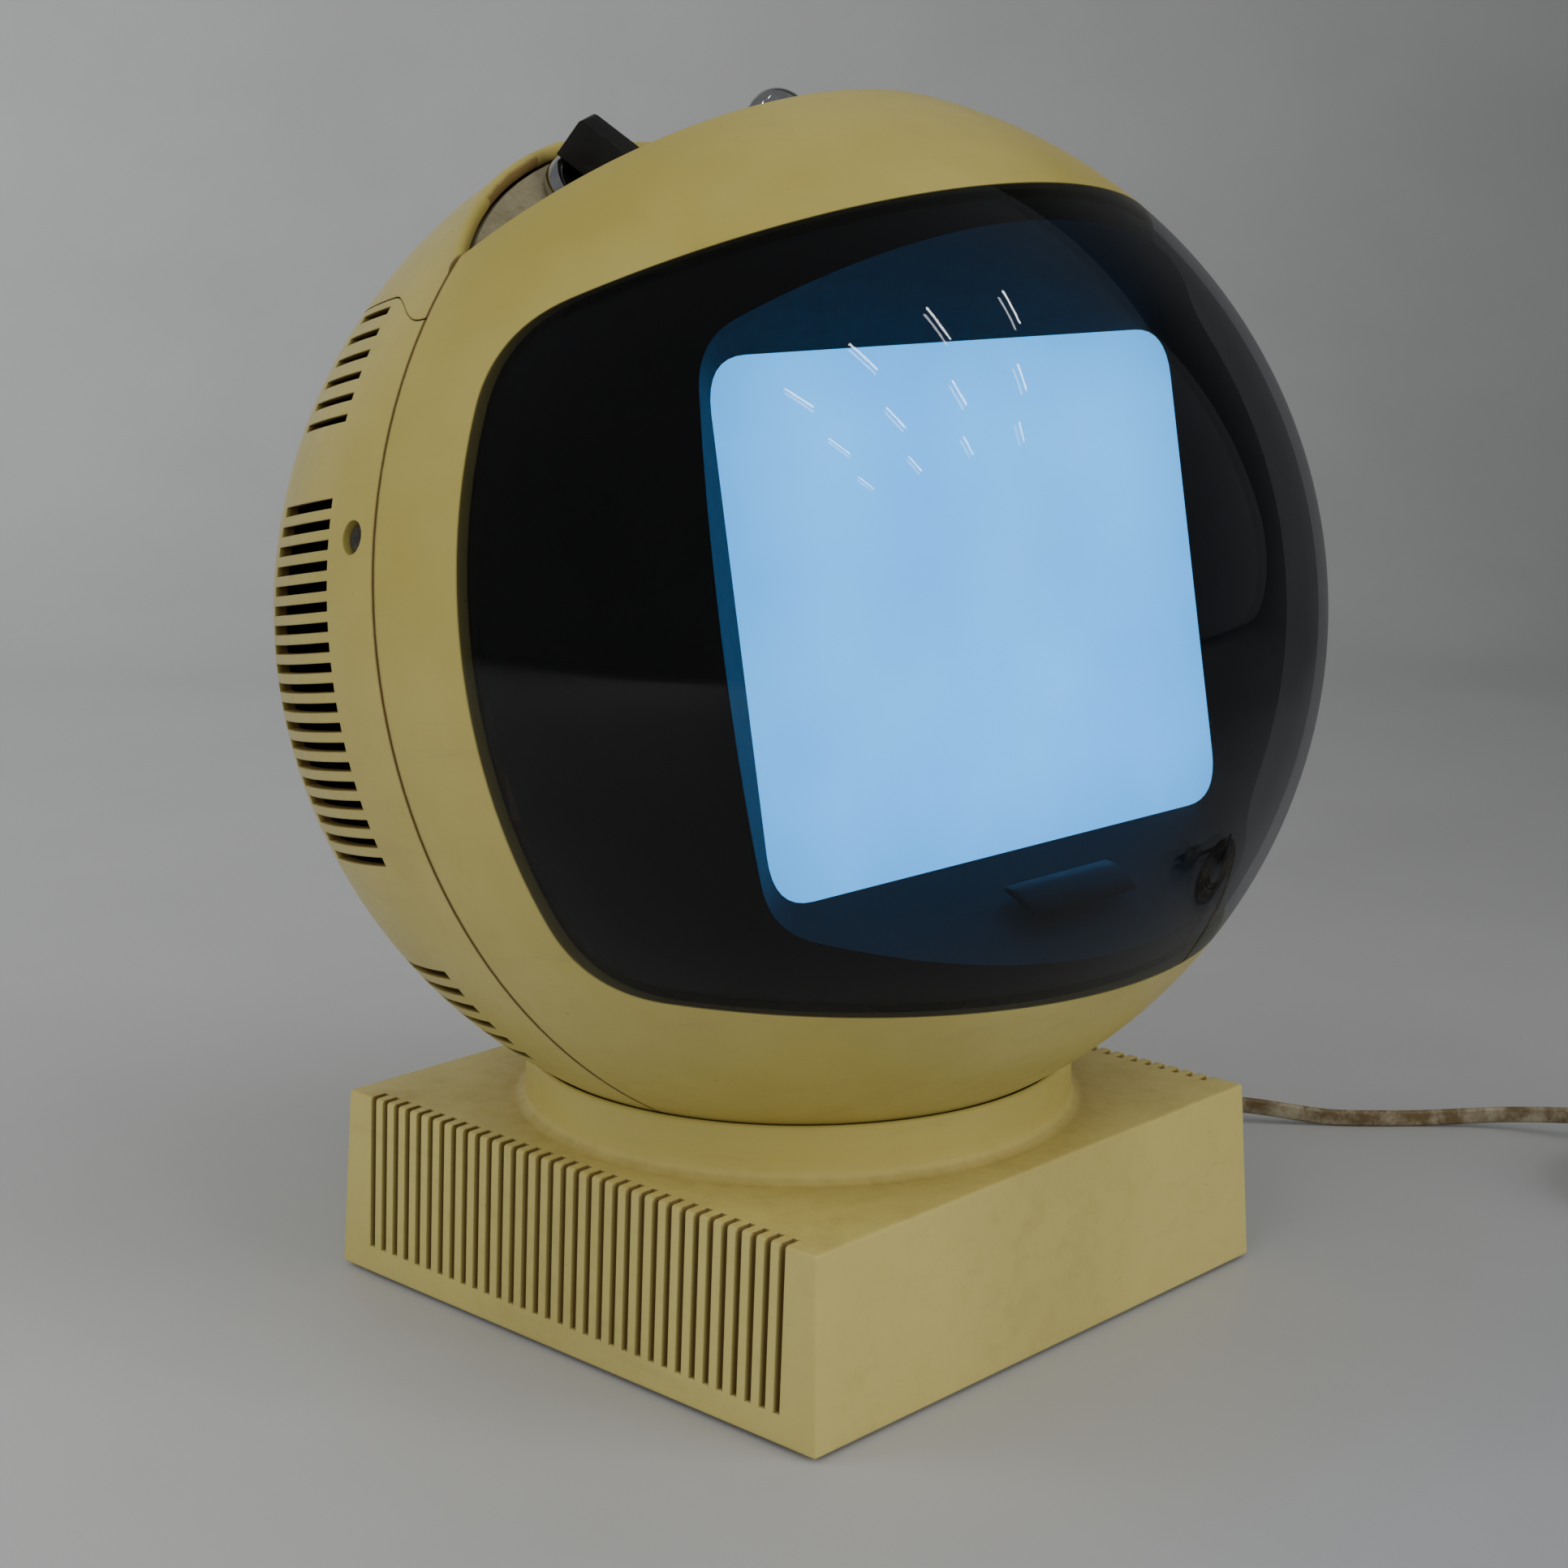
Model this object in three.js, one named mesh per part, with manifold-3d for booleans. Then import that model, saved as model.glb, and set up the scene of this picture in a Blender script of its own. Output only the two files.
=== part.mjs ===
// Portable television: a ball-shaped receiver that swivels and tilts in a round collar
// on a square mains base. Millimetres, +Z up, the front of the base faces -Y.
import * as THREE from "three";
import { mergeVertices } from "three/addons/utils/BufferGeometryUtils.js";
import Module from "manifold-3d";

const wasm = await Module();
wasm.setup();

// ---------------------------------------------------------------- driving dimensions
const GAP = 0.3; // clearance kept between neighbouring pieces
const BALL_R = 140; // outside radius of the ball
const SHELL = 3.2; // wall of the moulded ball shells
const FOOT_REVEAL = 1.2; // how far the rubber feet lift the base off the table
const BASE_TOP_WIDTH = 177.2;
const BASE_FOOT_WIDTH = 182;
const BASE_HEIGHT = 50.8;
const BASE_WALL = 3;
const BALL_Z = 184.5 + FOOT_REVEAL; // height of the ball's centre above the table
const REST_SWIVEL = -1.7; // degrees about +Z
const REST_TILT = 10.3; // degrees, front of the ball raised
const SEAM_Y = 1.1; // the front and rear shells part just behind the ball's centre

const BASE_TOP_Z = FOOT_REVEAL + BASE_HEIGHT;
const SHELL_R = BALL_R - SHELL; // inside radius of the shells
const BALL_SEGMENTS = 36;
const LINING_SEGMENTS = 28; // facets of the spheres that only shape inner faces

// ---------------------------------------------------------------- materials
const plastic = (color, roughness) => new THREE.MeshStandardMaterial({ color, roughness, metalness: 0 });
const metal = (color, roughness) => new THREE.MeshStandardMaterial({ color, roughness, metalness: 1 });

const CREAM = plastic(0xc9bd82, 0.35);
const PANEL = plastic(0x8f866c, 0.5);
const BLACK = plastic(0x101112, 0.3);
const MASK = plastic(0x0c0d0e, 0.6);
const SMOKE = new THREE.MeshStandardMaterial({
  color: 0x1a1c20,
  roughness: 0.05,
  transparent: true,
  opacity: 0.45,
});
const SCREEN = new THREE.MeshStandardMaterial({ color: 0xa9cdf2, roughness: 0.1, emissive: 0xa9cdf2 });
const CHROME = metal(0xc8cacc, 0.12);
const STEEL = metal(0x9a9c9e, 0.35);
const COPPER = metal(0xa8622f, 0.4);
const BOARD = plastic(0x8a6a2c, 0.6);
const RUBBER = plastic(0x18181a, 0.8);
const NYLON = plastic(0xe6e2d2, 0.5);
const FELT = plastic(0x3a3a38, 0.95);
const CORD = plastic(0x6b552f, 0.6);
const CARD = plastic(0x2a2724, 0.9);

// ---------------------------------------------------------------- solids and booleans
function solid(geometry) {
  const bare = geometry.clone();
  bare.deleteAttribute("normal");
  bare.deleteAttribute("uv");
  const merged = mergeVertices(bare, 1e-4);
  const vertProperties = new Float32Array(merged.attributes.position.array);
  const triVerts = new Uint32Array(merged.index.array);
  return new wasm.Manifold(new wasm.Mesh({ numProp: 3, vertProperties, triVerts }));
}

function geometryOf(body) {
  const mesh = body.getMesh();
  const geometry = new THREE.BufferGeometry();
  geometry.setAttribute("position", new THREE.BufferAttribute(mesh.vertProperties.slice(), 3));
  geometry.setIndex(new THREE.BufferAttribute(mesh.triVerts.slice(), 1));
  geometry.computeVertexNormals();
  return geometry;
}

const join = (...bodies) => bodies.reduce((sum, body) => sum.add(body));
const cut = (body, ...tools) => tools.reduce((rest, tool) => rest.subtract(tool), body);
const common = (...bodies) => bodies.reduce((sum, body) => sum.intersect(body));

// ---------------------------------------------------------------- basic shapes
function block(x0, x1, y0, y1, z0, z1) {
  const geometry = new THREE.BoxGeometry(x1 - x0, y1 - y0, z1 - z0);
  return solid(geometry.translate((x0 + x1) / 2, (y0 + y1) / 2, (z0 + z1) / 2));
}

// A solid of revolution about +Z from [radius, height] points that close on themselves.
function turned(points, segments = 32) {
  const outline = points.map(([r, z]) => new THREE.Vector2(Math.max(r, 0), z));
  outline.push(outline[0].clone());
  const body = solid(new THREE.LatheGeometry(outline, segments).rotateX(Math.PI / 2));
  return body.volume() < 0 ? turned([...points].reverse(), segments) : body;
}

const disc = (r, z0, z1, segments = 32) => turned([[0, z0], [r, z0], [r, z1], [0, z1]], segments);

const ring = (r0, r1, z0, z1, segments = 32) => turned([[r0, z0], [r1, z0], [r1, z1], [r0, z1]], segments);

function ball(radius, segments = BALL_SEGMENTS) {
  const rings = segments / 2;
  const points = [];
  for (let i = 0; i <= rings; i += 1) {
    const angle = -Math.PI / 2 + (Math.PI * i) / rings;
    points.push([radius * Math.cos(angle), radius * Math.sin(angle)]);
  }
  return turned(points, segments);
}

// An outline in the Y-Z plane, carried through the whole width along X.
function across(points, width = 2 * BALL_R + 20, corner = 0, x = 0) {
  const sharp = () => new THREE.Shape(points.map((p) => new THREE.Vector2(...p)));
  const shape = corner ? roundedOutline(points, corner) : sharp();
  const options = { depth: width, bevelEnabled: false, curveSegments: 6 };
  const geometry = new THREE.ExtrudeGeometry(shape, options);
  const axes = new THREE.Matrix4().makeBasis(
    new THREE.Vector3(0, 1, 0),
    new THREE.Vector3(0, 0, 1),
    new THREE.Vector3(1, 0, 0),
  );
  return solid(geometry.applyMatrix4(axes).translate(x - width / 2, 0, 0));
}

// A closed outline whose corners are rounded; a corner's point may carry its own radius.
function roundedOutline(points, radius) {
  const shape = new THREE.Shape();
  const at = (i) => new THREE.Vector2(...points[(i + points.length) % points.length].slice(0, 2));
  points.forEach((point, i) => {
    const here = at(i);
    const reach = point[2] ?? radius;
    const before = here.clone().add(at(i - 1).sub(here).setLength(reach));
    const after = here.clone().add(at(i + 1).sub(here).setLength(reach));
    if (i === 0) shape.moveTo(before.x, before.y);
    else shape.lineTo(before.x, before.y);
    shape.quadraticCurveTo(here.x, here.y, after.x, after.y);
  });
  shape.closePath();
  return shape;
}

// A rounded rectangle in X-Z that runs along Y and may flare from one size to another.
function flaredBox(y0, y1, half0, half1, corner) {
  const [w, h] = half0;
  const shape = roundedOutline([[-w, -h], [w, -h], [w, h], [-w, h]], corner);
  const geometry = new THREE.ExtrudeGeometry(shape, { depth: 1, bevelEnabled: false, curveSegments: 5 });
  const position = geometry.attributes.position;
  for (let i = 0; i < position.count; i += 1) {
    const t = position.getZ(i);
    const x = position.getX(i) * (1 + t * (half1[0] / w - 1));
    const z = position.getY(i) * (1 + t * (half1[1] / h - 1));
    position.setXYZ(i, x, y0 + t * (y1 - y0), z);
  }
  const forward = y1 < y0;
  return solid(forward ? geometry : turnedOver(geometry));
}

// Swaps two corners of every triangle, so that faces that point inwards point outwards.
function turnedOver(geometry) {
  const loose = geometry.index ? geometry.toNonIndexed() : geometry.clone();
  const array = loose.attributes.position.array;
  for (let i = 0; i < array.length; i += 9) {
    for (let k = 0; k < 3; k += 1) {
      [array[i + k], array[i + 3 + k]] = [array[i + 3 + k], array[i + k]];
    }
  }
  return loose;
}

// A round rod or wire along a smooth curve through points.
function tubeAlong(points, radius, sides, steps) {
  const outline = new THREE.Shape();
  outline.absarc(0, 0, radius, 0, 2 * Math.PI, false);
  const extrudePath = new THREE.CatmullRomCurve3(points.map((p) => new THREE.Vector3(...p)));
  const options = { steps, extrudePath, bevelEnabled: false, curveSegments: sides / 2 };
  return solid(new THREE.ExtrudeGeometry(outline, options));
}

const moved = (body, x, y, z) => body.translate([x, y, z]);

// Turns a body made about +Z so that its axis points along another direction.
function aimed(body, direction, place = [0, 0, 0]) {
  const turn = new THREE.Quaternion().setFromUnitVectors(
    new THREE.Vector3(0, 0, 1),
    new THREE.Vector3(...direction).normalize(),
  );
  const geometry = geometryOf(body).applyQuaternion(turn).translate(...place);
  return solid(geometry);
}

// ---------------------------------------------------------------- the scene graph
const television = new THREE.Group();

const head = new THREE.Group();
head.position.set(0, 0, BALL_Z);
head.rotation.order = "ZXY";
head.rotation.z = THREE.MathUtils.degToRad(REST_SWIVEL);
head.rotation.x = THREE.MathUtils.degToRad(-REST_TILT);
television.add(head);

// The saddle swivels with the ball but doesn't tilt with it.
const saddle = new THREE.Group();
television.add(saddle);

function add(group, name, body, material) {
  const mesh = new THREE.Mesh(geometryOf(body), material.clone());
  mesh.name = name;
  group.add(mesh);
  return mesh;
}

// ================================================================ BASE
const COLLAR_R = 76; // outside radius of the collar at its foot
const COLLAR_TOP_Z = 65.6 + FOOT_REVEAL;
const COLLAR_BORE_R = 73.2;
const GRILLE_SLOTS = 33;
const GRILLE_PITCH = 4.86;
const GRILLE_SLOT = 2.1;
const GRILLE_FLOOR_Z = FOOT_REVEAL + 7.7; // where the slots end above the base's lower edge
const GRILLE_NOTCH = 5; // how far the slots cut into the top face
const SIDES = [-1, 1];
const CORNERS = [[-1, -1], [1, -1], [1, 1], [-1, 1]];

const PLATE_POST = 64; // posts that carry the pivot plate
const LID_POST = 78.5; // posts that take the bottom plate's screws
const PIVOT_PLATE_Z = 34;
const PIVOT_PLATE = 2;

// A square frustum; its walls lean in by the draft of the moulding.
function drafted(widthBelow, widthAbove, z0, z1) {
  const geometry = new THREE.CylinderGeometry(
    widthAbove / Math.SQRT2,
    widthBelow / Math.SQRT2,
    z1 - z0,
    4,
  );
  geometry.rotateY(Math.PI / 4);
  geometry.rotateX(Math.PI / 2);
  return solid(geometry.translate(0, 0, (z0 + z1) / 2));
}

// Radius of a sphere about the ball's centre at a height, on its lower half.
const radiusAt = (sphere, z) => Math.sqrt(sphere ** 2 - (BALL_Z - z) ** 2);
const heightAt = (sphere, r) => BALL_Z - Math.sqrt(sphere ** 2 - r ** 2);

function collar() {
  const clear = BALL_R + 0.7;
  const lipZ = heightAt(clear, COLLAR_BORE_R);
  const outline = [
    [COLLAR_BORE_R, BASE_TOP_Z - 1.5],
    [COLLAR_R + 3.2, BASE_TOP_Z - 1.5],
    [COLLAR_R + 3.2, BASE_TOP_Z + 0.01],
    [COLLAR_R + 1.1, BASE_TOP_Z + 0.6],
    [COLLAR_R + 0.2, BASE_TOP_Z + 2.4],
    [COLLAR_R - 0.2, COLLAR_TOP_Z - 0.9],
    [COLLAR_R - 0.7, COLLAR_TOP_Z - 0.15],
    [radiusAt(clear, COLLAR_TOP_Z) + 0.2, COLLAR_TOP_Z],
    [radiusAt(clear, COLLAR_TOP_Z - 0.4), COLLAR_TOP_Z - 0.4],
    [COLLAR_BORE_R, lipZ],
  ];
  return turned(outline, 40);
}

function baseHousing() {
  const skin = cut(
    drafted(BASE_FOOT_WIDTH, BASE_TOP_WIDTH, FOOT_REVEAL, BASE_TOP_Z),
    drafted(
      BASE_FOOT_WIDTH - 2 * BASE_WALL,
      BASE_TOP_WIDTH - 2 * BASE_WALL,
      FOOT_REVEAL - 1,
      BASE_TOP_Z - BASE_WALL,
    ),
  );
  const posts = [];
  for (const [i, j] of CORNERS) {
    const carrier = disc(4.5, PIVOT_PLATE_Z + PIVOT_PLATE + GAP, BASE_TOP_Z - 1, 12);
    posts.push(moved(carrier, i * PLATE_POST, j * PLATE_POST, 0));
    posts.push(moved(disc(4.2, FOOT_REVEAL + 2.4, BASE_TOP_Z - 1, 12), i * LID_POST, j * LID_POST, 0));
  }
  const bored = cut(join(skin, ...posts), disc(COLLAR_BORE_R, BASE_TOP_Z - 20, BASE_TOP_Z + 20, 40));
  const slots = [];
  for (const side of SIDES) {
    const inner = BASE_TOP_WIDTH / 2 - GRILLE_NOTCH;
    for (let i = 0; i < GRILLE_SLOTS; i += 1) {
      const y = (i - (GRILLE_SLOTS - 1) / 2) * GRILLE_PITCH;
      const reach = side < 0 ? [-100, -inner] : [inner, 100];
      slots.push(block(...reach, y - GRILLE_SLOT / 2, y + GRILLE_SLOT / 2, GRILLE_FLOOR_Z, BASE_TOP_Z + 5));
    }
  }
  const screwHole = (place, z0, z1) => (
    CORNERS.map(([i, j]) => moved(disc(1.6, z0, z1, 8), i * place, j * place, 0))
  );
  const holes = [...screwHole(LID_POST, 0, 16), ...screwHole(PLATE_POST, 30, 46)];
  const cordPlace = [CORD_EXIT[0], 80, CORD_EXIT[2]];
  holes.push(aimed(disc(CORD_NECK_R + GAP, 0, 20, 16), [0, 1, 0], cordPlace));
  return cut(join(bored, collar()), ...slots, ...holes);
}

const FOOT_R = 9;
const FOOT_FLANGE_R = 11;
const FOOT_PLACE = 62;
const LID_Z = FOOT_REVEAL + 0.3;
const LID = 1.8;

function bottomPlate() {
  const half = BASE_FOOT_WIDTH / 2 - BASE_WALL - 0.6;
  const plate = block(-half, half, -half, half, LID_Z, LID_Z + LID);
  const holes = [];
  for (const [i, j] of CORNERS) {
    holes.push(moved(disc(FOOT_R + GAP, 0, 5, 20), i * FOOT_PLACE, j * FOOT_PLACE, 0));
    holes.push(moved(disc(1.8, 0, 5, 12), i * LID_POST, j * LID_POST, 0));
  }
  return cut(plate, ...holes);
}

// A rubber foot: its flange sits on the plate and its pad comes through.
function foot() {
  const flangeZ = LID_Z + LID + GAP;
  const top = flangeZ + 1.6;
  const outline = [
    [0, 0],
    [FOOT_R - 1, 0],
    [FOOT_R, 0.8],
    [FOOT_R, flangeZ],
    [FOOT_FLANGE_R, flangeZ],
    [FOOT_FLANGE_R, top],
    [0, top],
  ];
  return turned(outline, 20);
}

// A pan-head screw that points up: its head's underside is at the given height.
function screw(headR, headUnder, headHeight, shankR, length) {
  const low = headUnder - headHeight;
  const tip = headUnder + length;
  const outline = [
    [0, low],
    [headR * 0.8, low],
    [headR, headUnder - headHeight / 3],
    [headR, headUnder],
    [shankR, headUnder],
    [shankR, tip - 1],
    [shankR / 2, tip],
    [0, tip],
  ];
  return turned(outline, 10);
}

function pivotPlate() {
  const half = 72;
  const plate = block(-half, half, -half, half, PIVOT_PLATE_Z, PIVOT_PLATE_Z + PIVOT_PLATE);
  const holes = CORNERS.map(([i, j]) => moved(disc(1.8, 30, 40, 12), i * PLATE_POST, j * PLATE_POST, 0));
  return cut(plate, ...holes, disc(PIVOT_R + GAP, 30, 40, 24));
}

// Mains transformer: a laminated core with two feet and a wound bobbin on its middle leg.
const TRANSFORMER = { x: -42, y: 38, z: LID_Z + LID + GAP, width: 50, depth: 22, height: 25 };

function transformerCore() {
  const t = TRANSFORMER;
  const z1 = t.z + t.height;
  const ends = [t.x - t.width / 2, t.x + t.width / 2];
  const core = block(...ends, t.y - t.depth / 2, t.y + t.depth / 2, t.z, z1);
  const windows = SIDES.map((side) => {
    const middle = t.x + side * 12.5;
    return block(middle - 4.5, middle + 4.5, 0, 90, t.z + 6, z1 - 6);
  });
  return cut(core, ...windows);
}

function transformerWinding() {
  const t = TRANSFORMER;
  const z0 = t.z + 6 + GAP;
  const z1 = t.z + t.height - 6 - GAP;
  const bobbin = block(t.x - 16.5, t.x + 16.5, t.y - 18, t.y + 18, z0, z1);
  return cut(bobbin, block(t.x - 8.3, t.x + 8.3, t.y - t.depth / 2 - GAP, t.y + t.depth / 2 + GAP, 0, 60));
}

// Power board with its smoothing capacitor, its finned heat sink and its fuse.
const POWER_BOARD = { x: 34, y: -8, z: 9, width: 74, depth: 96, thick: 1.6 };
const HEAT_SINK = { x: [8, 38], y: [-46, -14], foot: 2.4, height: 20, fins: 6 };

function powerBoard() {
  const b = POWER_BOARD;
  const top = b.z + b.thick;
  const board = block(b.x - b.width / 2, b.x + b.width / 2, b.y - b.depth / 2, b.y + b.depth / 2, b.z, top);
  const capacitor = moved(turned([[0, -0.5], [9, -0.5], [9, 21], [8, 22], [0, 22]], 16), 52, 18, top);
  const h = HEAT_SINK;
  const pitch = (h.y[1] - h.y[0]) / h.fins;
  const fins = [block(...h.x, ...h.y, top - 0.5, top + h.foot)];
  for (let i = 0; i < h.fins; i += 1) {
    const y = h.y[0] + i * pitch;
    fins.push(block(...h.x, y, y + pitch / 3, top, top + h.height));
  }
  const fuse = block(24, 46, 27, 33, top - 0.5, top + 6);
  return join(board, capacitor, fuse, ...fins);
}

// ================================================================ SWIVEL AND TILT PIVOT
const PIVOT_R = 6.9;
const SADDLE_TOP_R = BALL_R + 2.4; // the saddle's dish follows the ball at this radius
const SADDLE_EDGE_R = 68;
const FELT_INNER_R = 50;
const FELT_OUTER_R = 64;

const arc = (sphere, radii) => radii.map((r) => [r, heightAt(sphere, r)]);

function saddleDish() {
  const hubZ = PIVOT_PLATE_Z + PIVOT_PLATE + 2 * GAP + 2;
  return turned(
    [
      [PIVOT_R + GAP, hubZ],
      [24, hubZ],
      ...arc(SADDLE_TOP_R + 2.2, [30, 50, SADDLE_EDGE_R]),
      ...arc(SADDLE_TOP_R, [SADDLE_EDGE_R, 50, 30]),
      [PIVOT_R + GAP, heightAt(SADDLE_TOP_R, PIVOT_R + GAP)],
    ],
    28,
  );
}

function feltRing() {
  const radii = [FELT_INNER_R, (FELT_INNER_R + FELT_OUTER_R) / 2, FELT_OUTER_R];
  return turned([...arc(SADDLE_TOP_R - GAP - 0.1, radii), ...arc(BALL_R + 0.45, [...radii].reverse())], 28);
}

// A hollow bolt, so that the lead to the ball can pass through it.
function pivotBolt() {
  const head = disc(12, 26, 31, 6);
  const shank = disc(PIVOT_R, 30, 72, 24);
  return cut(join(head, shank), disc(4, 20, 80, 16));
}

const CLAMP_R = SHELL_R - 1.6; // outside radius of the clamp that presses inside the ball

function clampCup() {
  const inner = PIVOT_R + GAP;
  return turned([...arc(CLAMP_R, [inner, 14, 22]), ...arc(CLAMP_R - 2.2, [22, 14, inner])], 32);
}

function clampSpring() {
  const low = heightAt(CLAMP_R - 2.2, 9) + 1.4;
  const points = [];
  const turns = 2.5;
  const stepsPerTurn = 10;
  const rise = 60.4 - low;
  for (let i = 0; i <= turns * stepsPerTurn; i += 1) {
    const angle = (2 * Math.PI * i) / stepsPerTurn;
    const z = low + (rise * i) / (turns * stepsPerTurn);
    points.push([9.2 * Math.cos(angle), 9.2 * Math.sin(angle), z]);
  }
  return tubeAlong(points, 0.9, 6, 34);
}

const pivotNut = () => cut(disc(11, 62, 68, 6), disc(PIVOT_R + GAP, 60, 70, 24));

// ================================================================ BALL
// Head coordinates: origin at the ball's centre, -Y forward, +Z up.
const VISOR_SIDE_Y = -27.6; // the visor's side edges lie in this plane
const VISOR_WALL = 2.5;
const VISOR_CORNER = 17;
const visorTop = (y) => 68.8 - 0.3 * y;
const visorBottom = (y) => -72.1 + 0.27 * y;

// The side view of the visor, grown outwards by a margin.
function visorOutline(grow) {
  const side = VISOR_SIDE_Y + grow;
  const front = -BALL_R - 20;
  return [
    [side, visorBottom(side) - grow, VISOR_CORNER],
    [side, visorTop(side) + grow, VISOR_CORNER],
    [front, visorTop(front) + grow, 1],
    [front, visorBottom(front) - grow, 1],
  ];
}

const visorPrism = (grow) => across(visorOutline(grow), 2 * BALL_R + 20, VISOR_CORNER);

// The controls lie in a V-shaped well: its front wall rises forward to the rim of the front
// shell, and its rear wall, the control panel, rises backward to the lip of the top cover.
const WELL_FLOOR = [0.9, 98.1]; // y and z of the well's lowest line
const WELL_FRONT_SLOPE = 0.63; // rise of the front wall per unit forward
const PANEL_ANGLE = THREE.MathUtils.degToRad(40); // of the panel's normal above the horizontal
const PANEL_SLOPE = 1 / Math.tan(PANEL_ANGLE); // rise of the panel per unit backward
const PANEL_SUNK = 2; // depth of the panel under the lip
const PANEL_THICK = 2;

const frontWallZ = (y) => WELL_FLOOR[1] - WELL_FRONT_SLOPE * (y - WELL_FLOOR[0]);
const rearWallZ = (y) => WELL_FLOOR[1] + PANEL_SLOPE * (y - WELL_FLOOR[0]);

const controlWell = () =>
  across([WELL_FLOOR, [90, rearWallZ(90)], [90, 240], [-100, 240], [-100, frontWallZ(-100)]]);

// Everything in front of, behind or below a plane across the ball.
const FAR = 200;
const before = (y) => block(-FAR, FAR, -FAR, y, -FAR, FAR);
const behind = (y) => block(-FAR, FAR, y, FAR, -FAR, FAR);
const below = (z) => block(-FAR, FAR, -FAR, FAR, -FAR, z);

// The slot in the ball's underside that the pivot bolt passes through as the ball tilts.
const tiltSlot = () => block(-8, 8, -40, 66, -150, -100);

// The hanging eye stands on a boss in the middle of the well's front wall.
const EYE = { y: -14.9, z: 124.9, ringR: 10, wireR: 3, shankR: 3, collarR: 5.5, bossR: 8 };
const EYE_COLLAR_Z = EYE.z - EYE.ringR - EYE.wireR + 0.2;
const EYE_BOSS_LOW_Z = 99;

// Where the recessed screw sits in each side of the rear shell.
const screwPlace = (side) => [side * 135.4, 10.9, 34.2];

function frontShell() {
  const half = common(cut(ball(BALL_R), ball(SHELL_R, LINING_SEGMENTS)), before(SEAM_Y - 0.2));
  const wall = 2.6 * Math.hypot(1, WELL_FRONT_SLOPE);
  const slab = across([
    [SEAM_Y - 0.4, frontWallZ(SEAM_Y - 0.4)],
    [SEAM_Y - 0.4, frontWallZ(SEAM_Y - 0.4) - wall],
    [-100, frontWallZ(-100) - wall],
    [-100, frontWallZ(-100)],
  ]);
  const boss = moved(disc(EYE.bossR, EYE_BOSS_LOW_Z, EYE_COLLAR_Z - GAP, 20), 0, EYE.y, 0);
  const closed = join(cut(half, controlWell()), common(slab, ball(SHELL_R + 1)), boss);
  const eyeHole = moved(disc(EYE.shankR + GAP, 80, 130, 16), 0, EYE.y, 0);
  return cut(closed, visorPrism(0.2), tiltSlot(), eyeHole);
}

// A thick ring on a collared shank, with its nut below the boss.
function hangingEye() {
  const wire = new THREE.TorusGeometry(EYE.ringR, EYE.wireR, 10, 24);
  const ringBody = aimed(solid(wire), [0, 1, 0], [0, 0, EYE.z]);
  const shank = disc(EYE.shankR, EYE_BOSS_LOW_Z - 6, EYE.z - EYE.ringR, 16);
  const collarPlate = disc(EYE.collarR, EYE_COLLAR_Z, EYE_COLLAR_Z + 2, 20);
  const nut = disc(EYE.collarR, EYE_BOSS_LOW_Z - 4.3, EYE_BOSS_LOW_Z - GAP, 6);
  return moved(join(ringBody, shank, collarPlate, nut), 0, EYE.y, 0);
}

function visor() {
  const skin = cut(ball(BALL_R), ball(BALL_R - VISOR_WALL, LINING_SEGMENTS));
  return common(skin, visorPrism(-0.1), before(VISOR_SIDE_Y));
}

// The top cover's lower border: an S-bend near the seam, then level round the back.
const COVER_BORDER_Z = 92;

function coverOutline(shift) {
  const z = COVER_BORDER_Z + shift;
  return [
    [SEAM_Y - 3, z - 8],
    [SEAM_Y + 6, z - 8],
    [SEAM_Y + 13, z - 4.5],
    [SEAM_Y + 22, z],
    [160, z],
    [160, 200],
    [SEAM_Y - 3, 200],
  ];
}

// Between the two selectors the lip dips to a flat landing on top of the cover.
const LANDING_Z = 131.8;
const LANDING = 3;

function rearTopCover() {
  const half = common(cut(ball(BALL_R), ball(SHELL_R, LINING_SEGMENTS)), behind(SEAM_Y + 0.2));
  const landing = common(ball(SHELL_R + 1), block(-60, 60, 10, 60, LANDING_Z - LANDING, LANDING_Z));
  const dome = common(half, across(coverOutline(0.2)), below(LANDING_Z));
  return cut(join(dome, landing), controlWell());
}

// Ventilation slots: three groups of level slots in each side of the rear shell.
// The rear ends of a group's slots run from one value at its first slot to another at its
// last, or to another at its middle slot and back.
const SLOT_HEIGHT = 2.4;
const SLOT_GROUPS = [
  { topZ: 89, count: 6, pitch: 5.1, frontY: 24, rearY: [45, 57], bowed: false },
  { topZ: 43.1, count: 19, pitch: 4.91, frontY: 22.5, rearY: [60, 76], bowed: true },
  { topZ: -77, count: 6, pitch: 5.1, frontY: 25, rearY: [57, 46], bowed: false },
];

function ventSlots() {
  const slots = [];
  for (const { topZ, count, pitch, frontY, rearY, bowed } of SLOT_GROUPS) {
    for (let i = 0; i < count; i += 1) {
      const z = topZ - i * pitch;
      const along = i / (count - 1);
      const share = bowed ? 1 - Math.abs(2 * along - 1) : along;
      const rear = rearY[0] + (rearY[1] - rearY[0]) * share;
      const inner = Math.sqrt(SHELL_R ** 2 - z ** 2 - rear ** 2) - 6;
      for (const reach of [[-160, -inner], [inner, 160]]) {
        slots.push(block(...reach, frontY, rear, z - SLOT_HEIGHT / 2, z + SLOT_HEIGHT / 2));
      }
    }
  }
  return slots;
}

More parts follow.
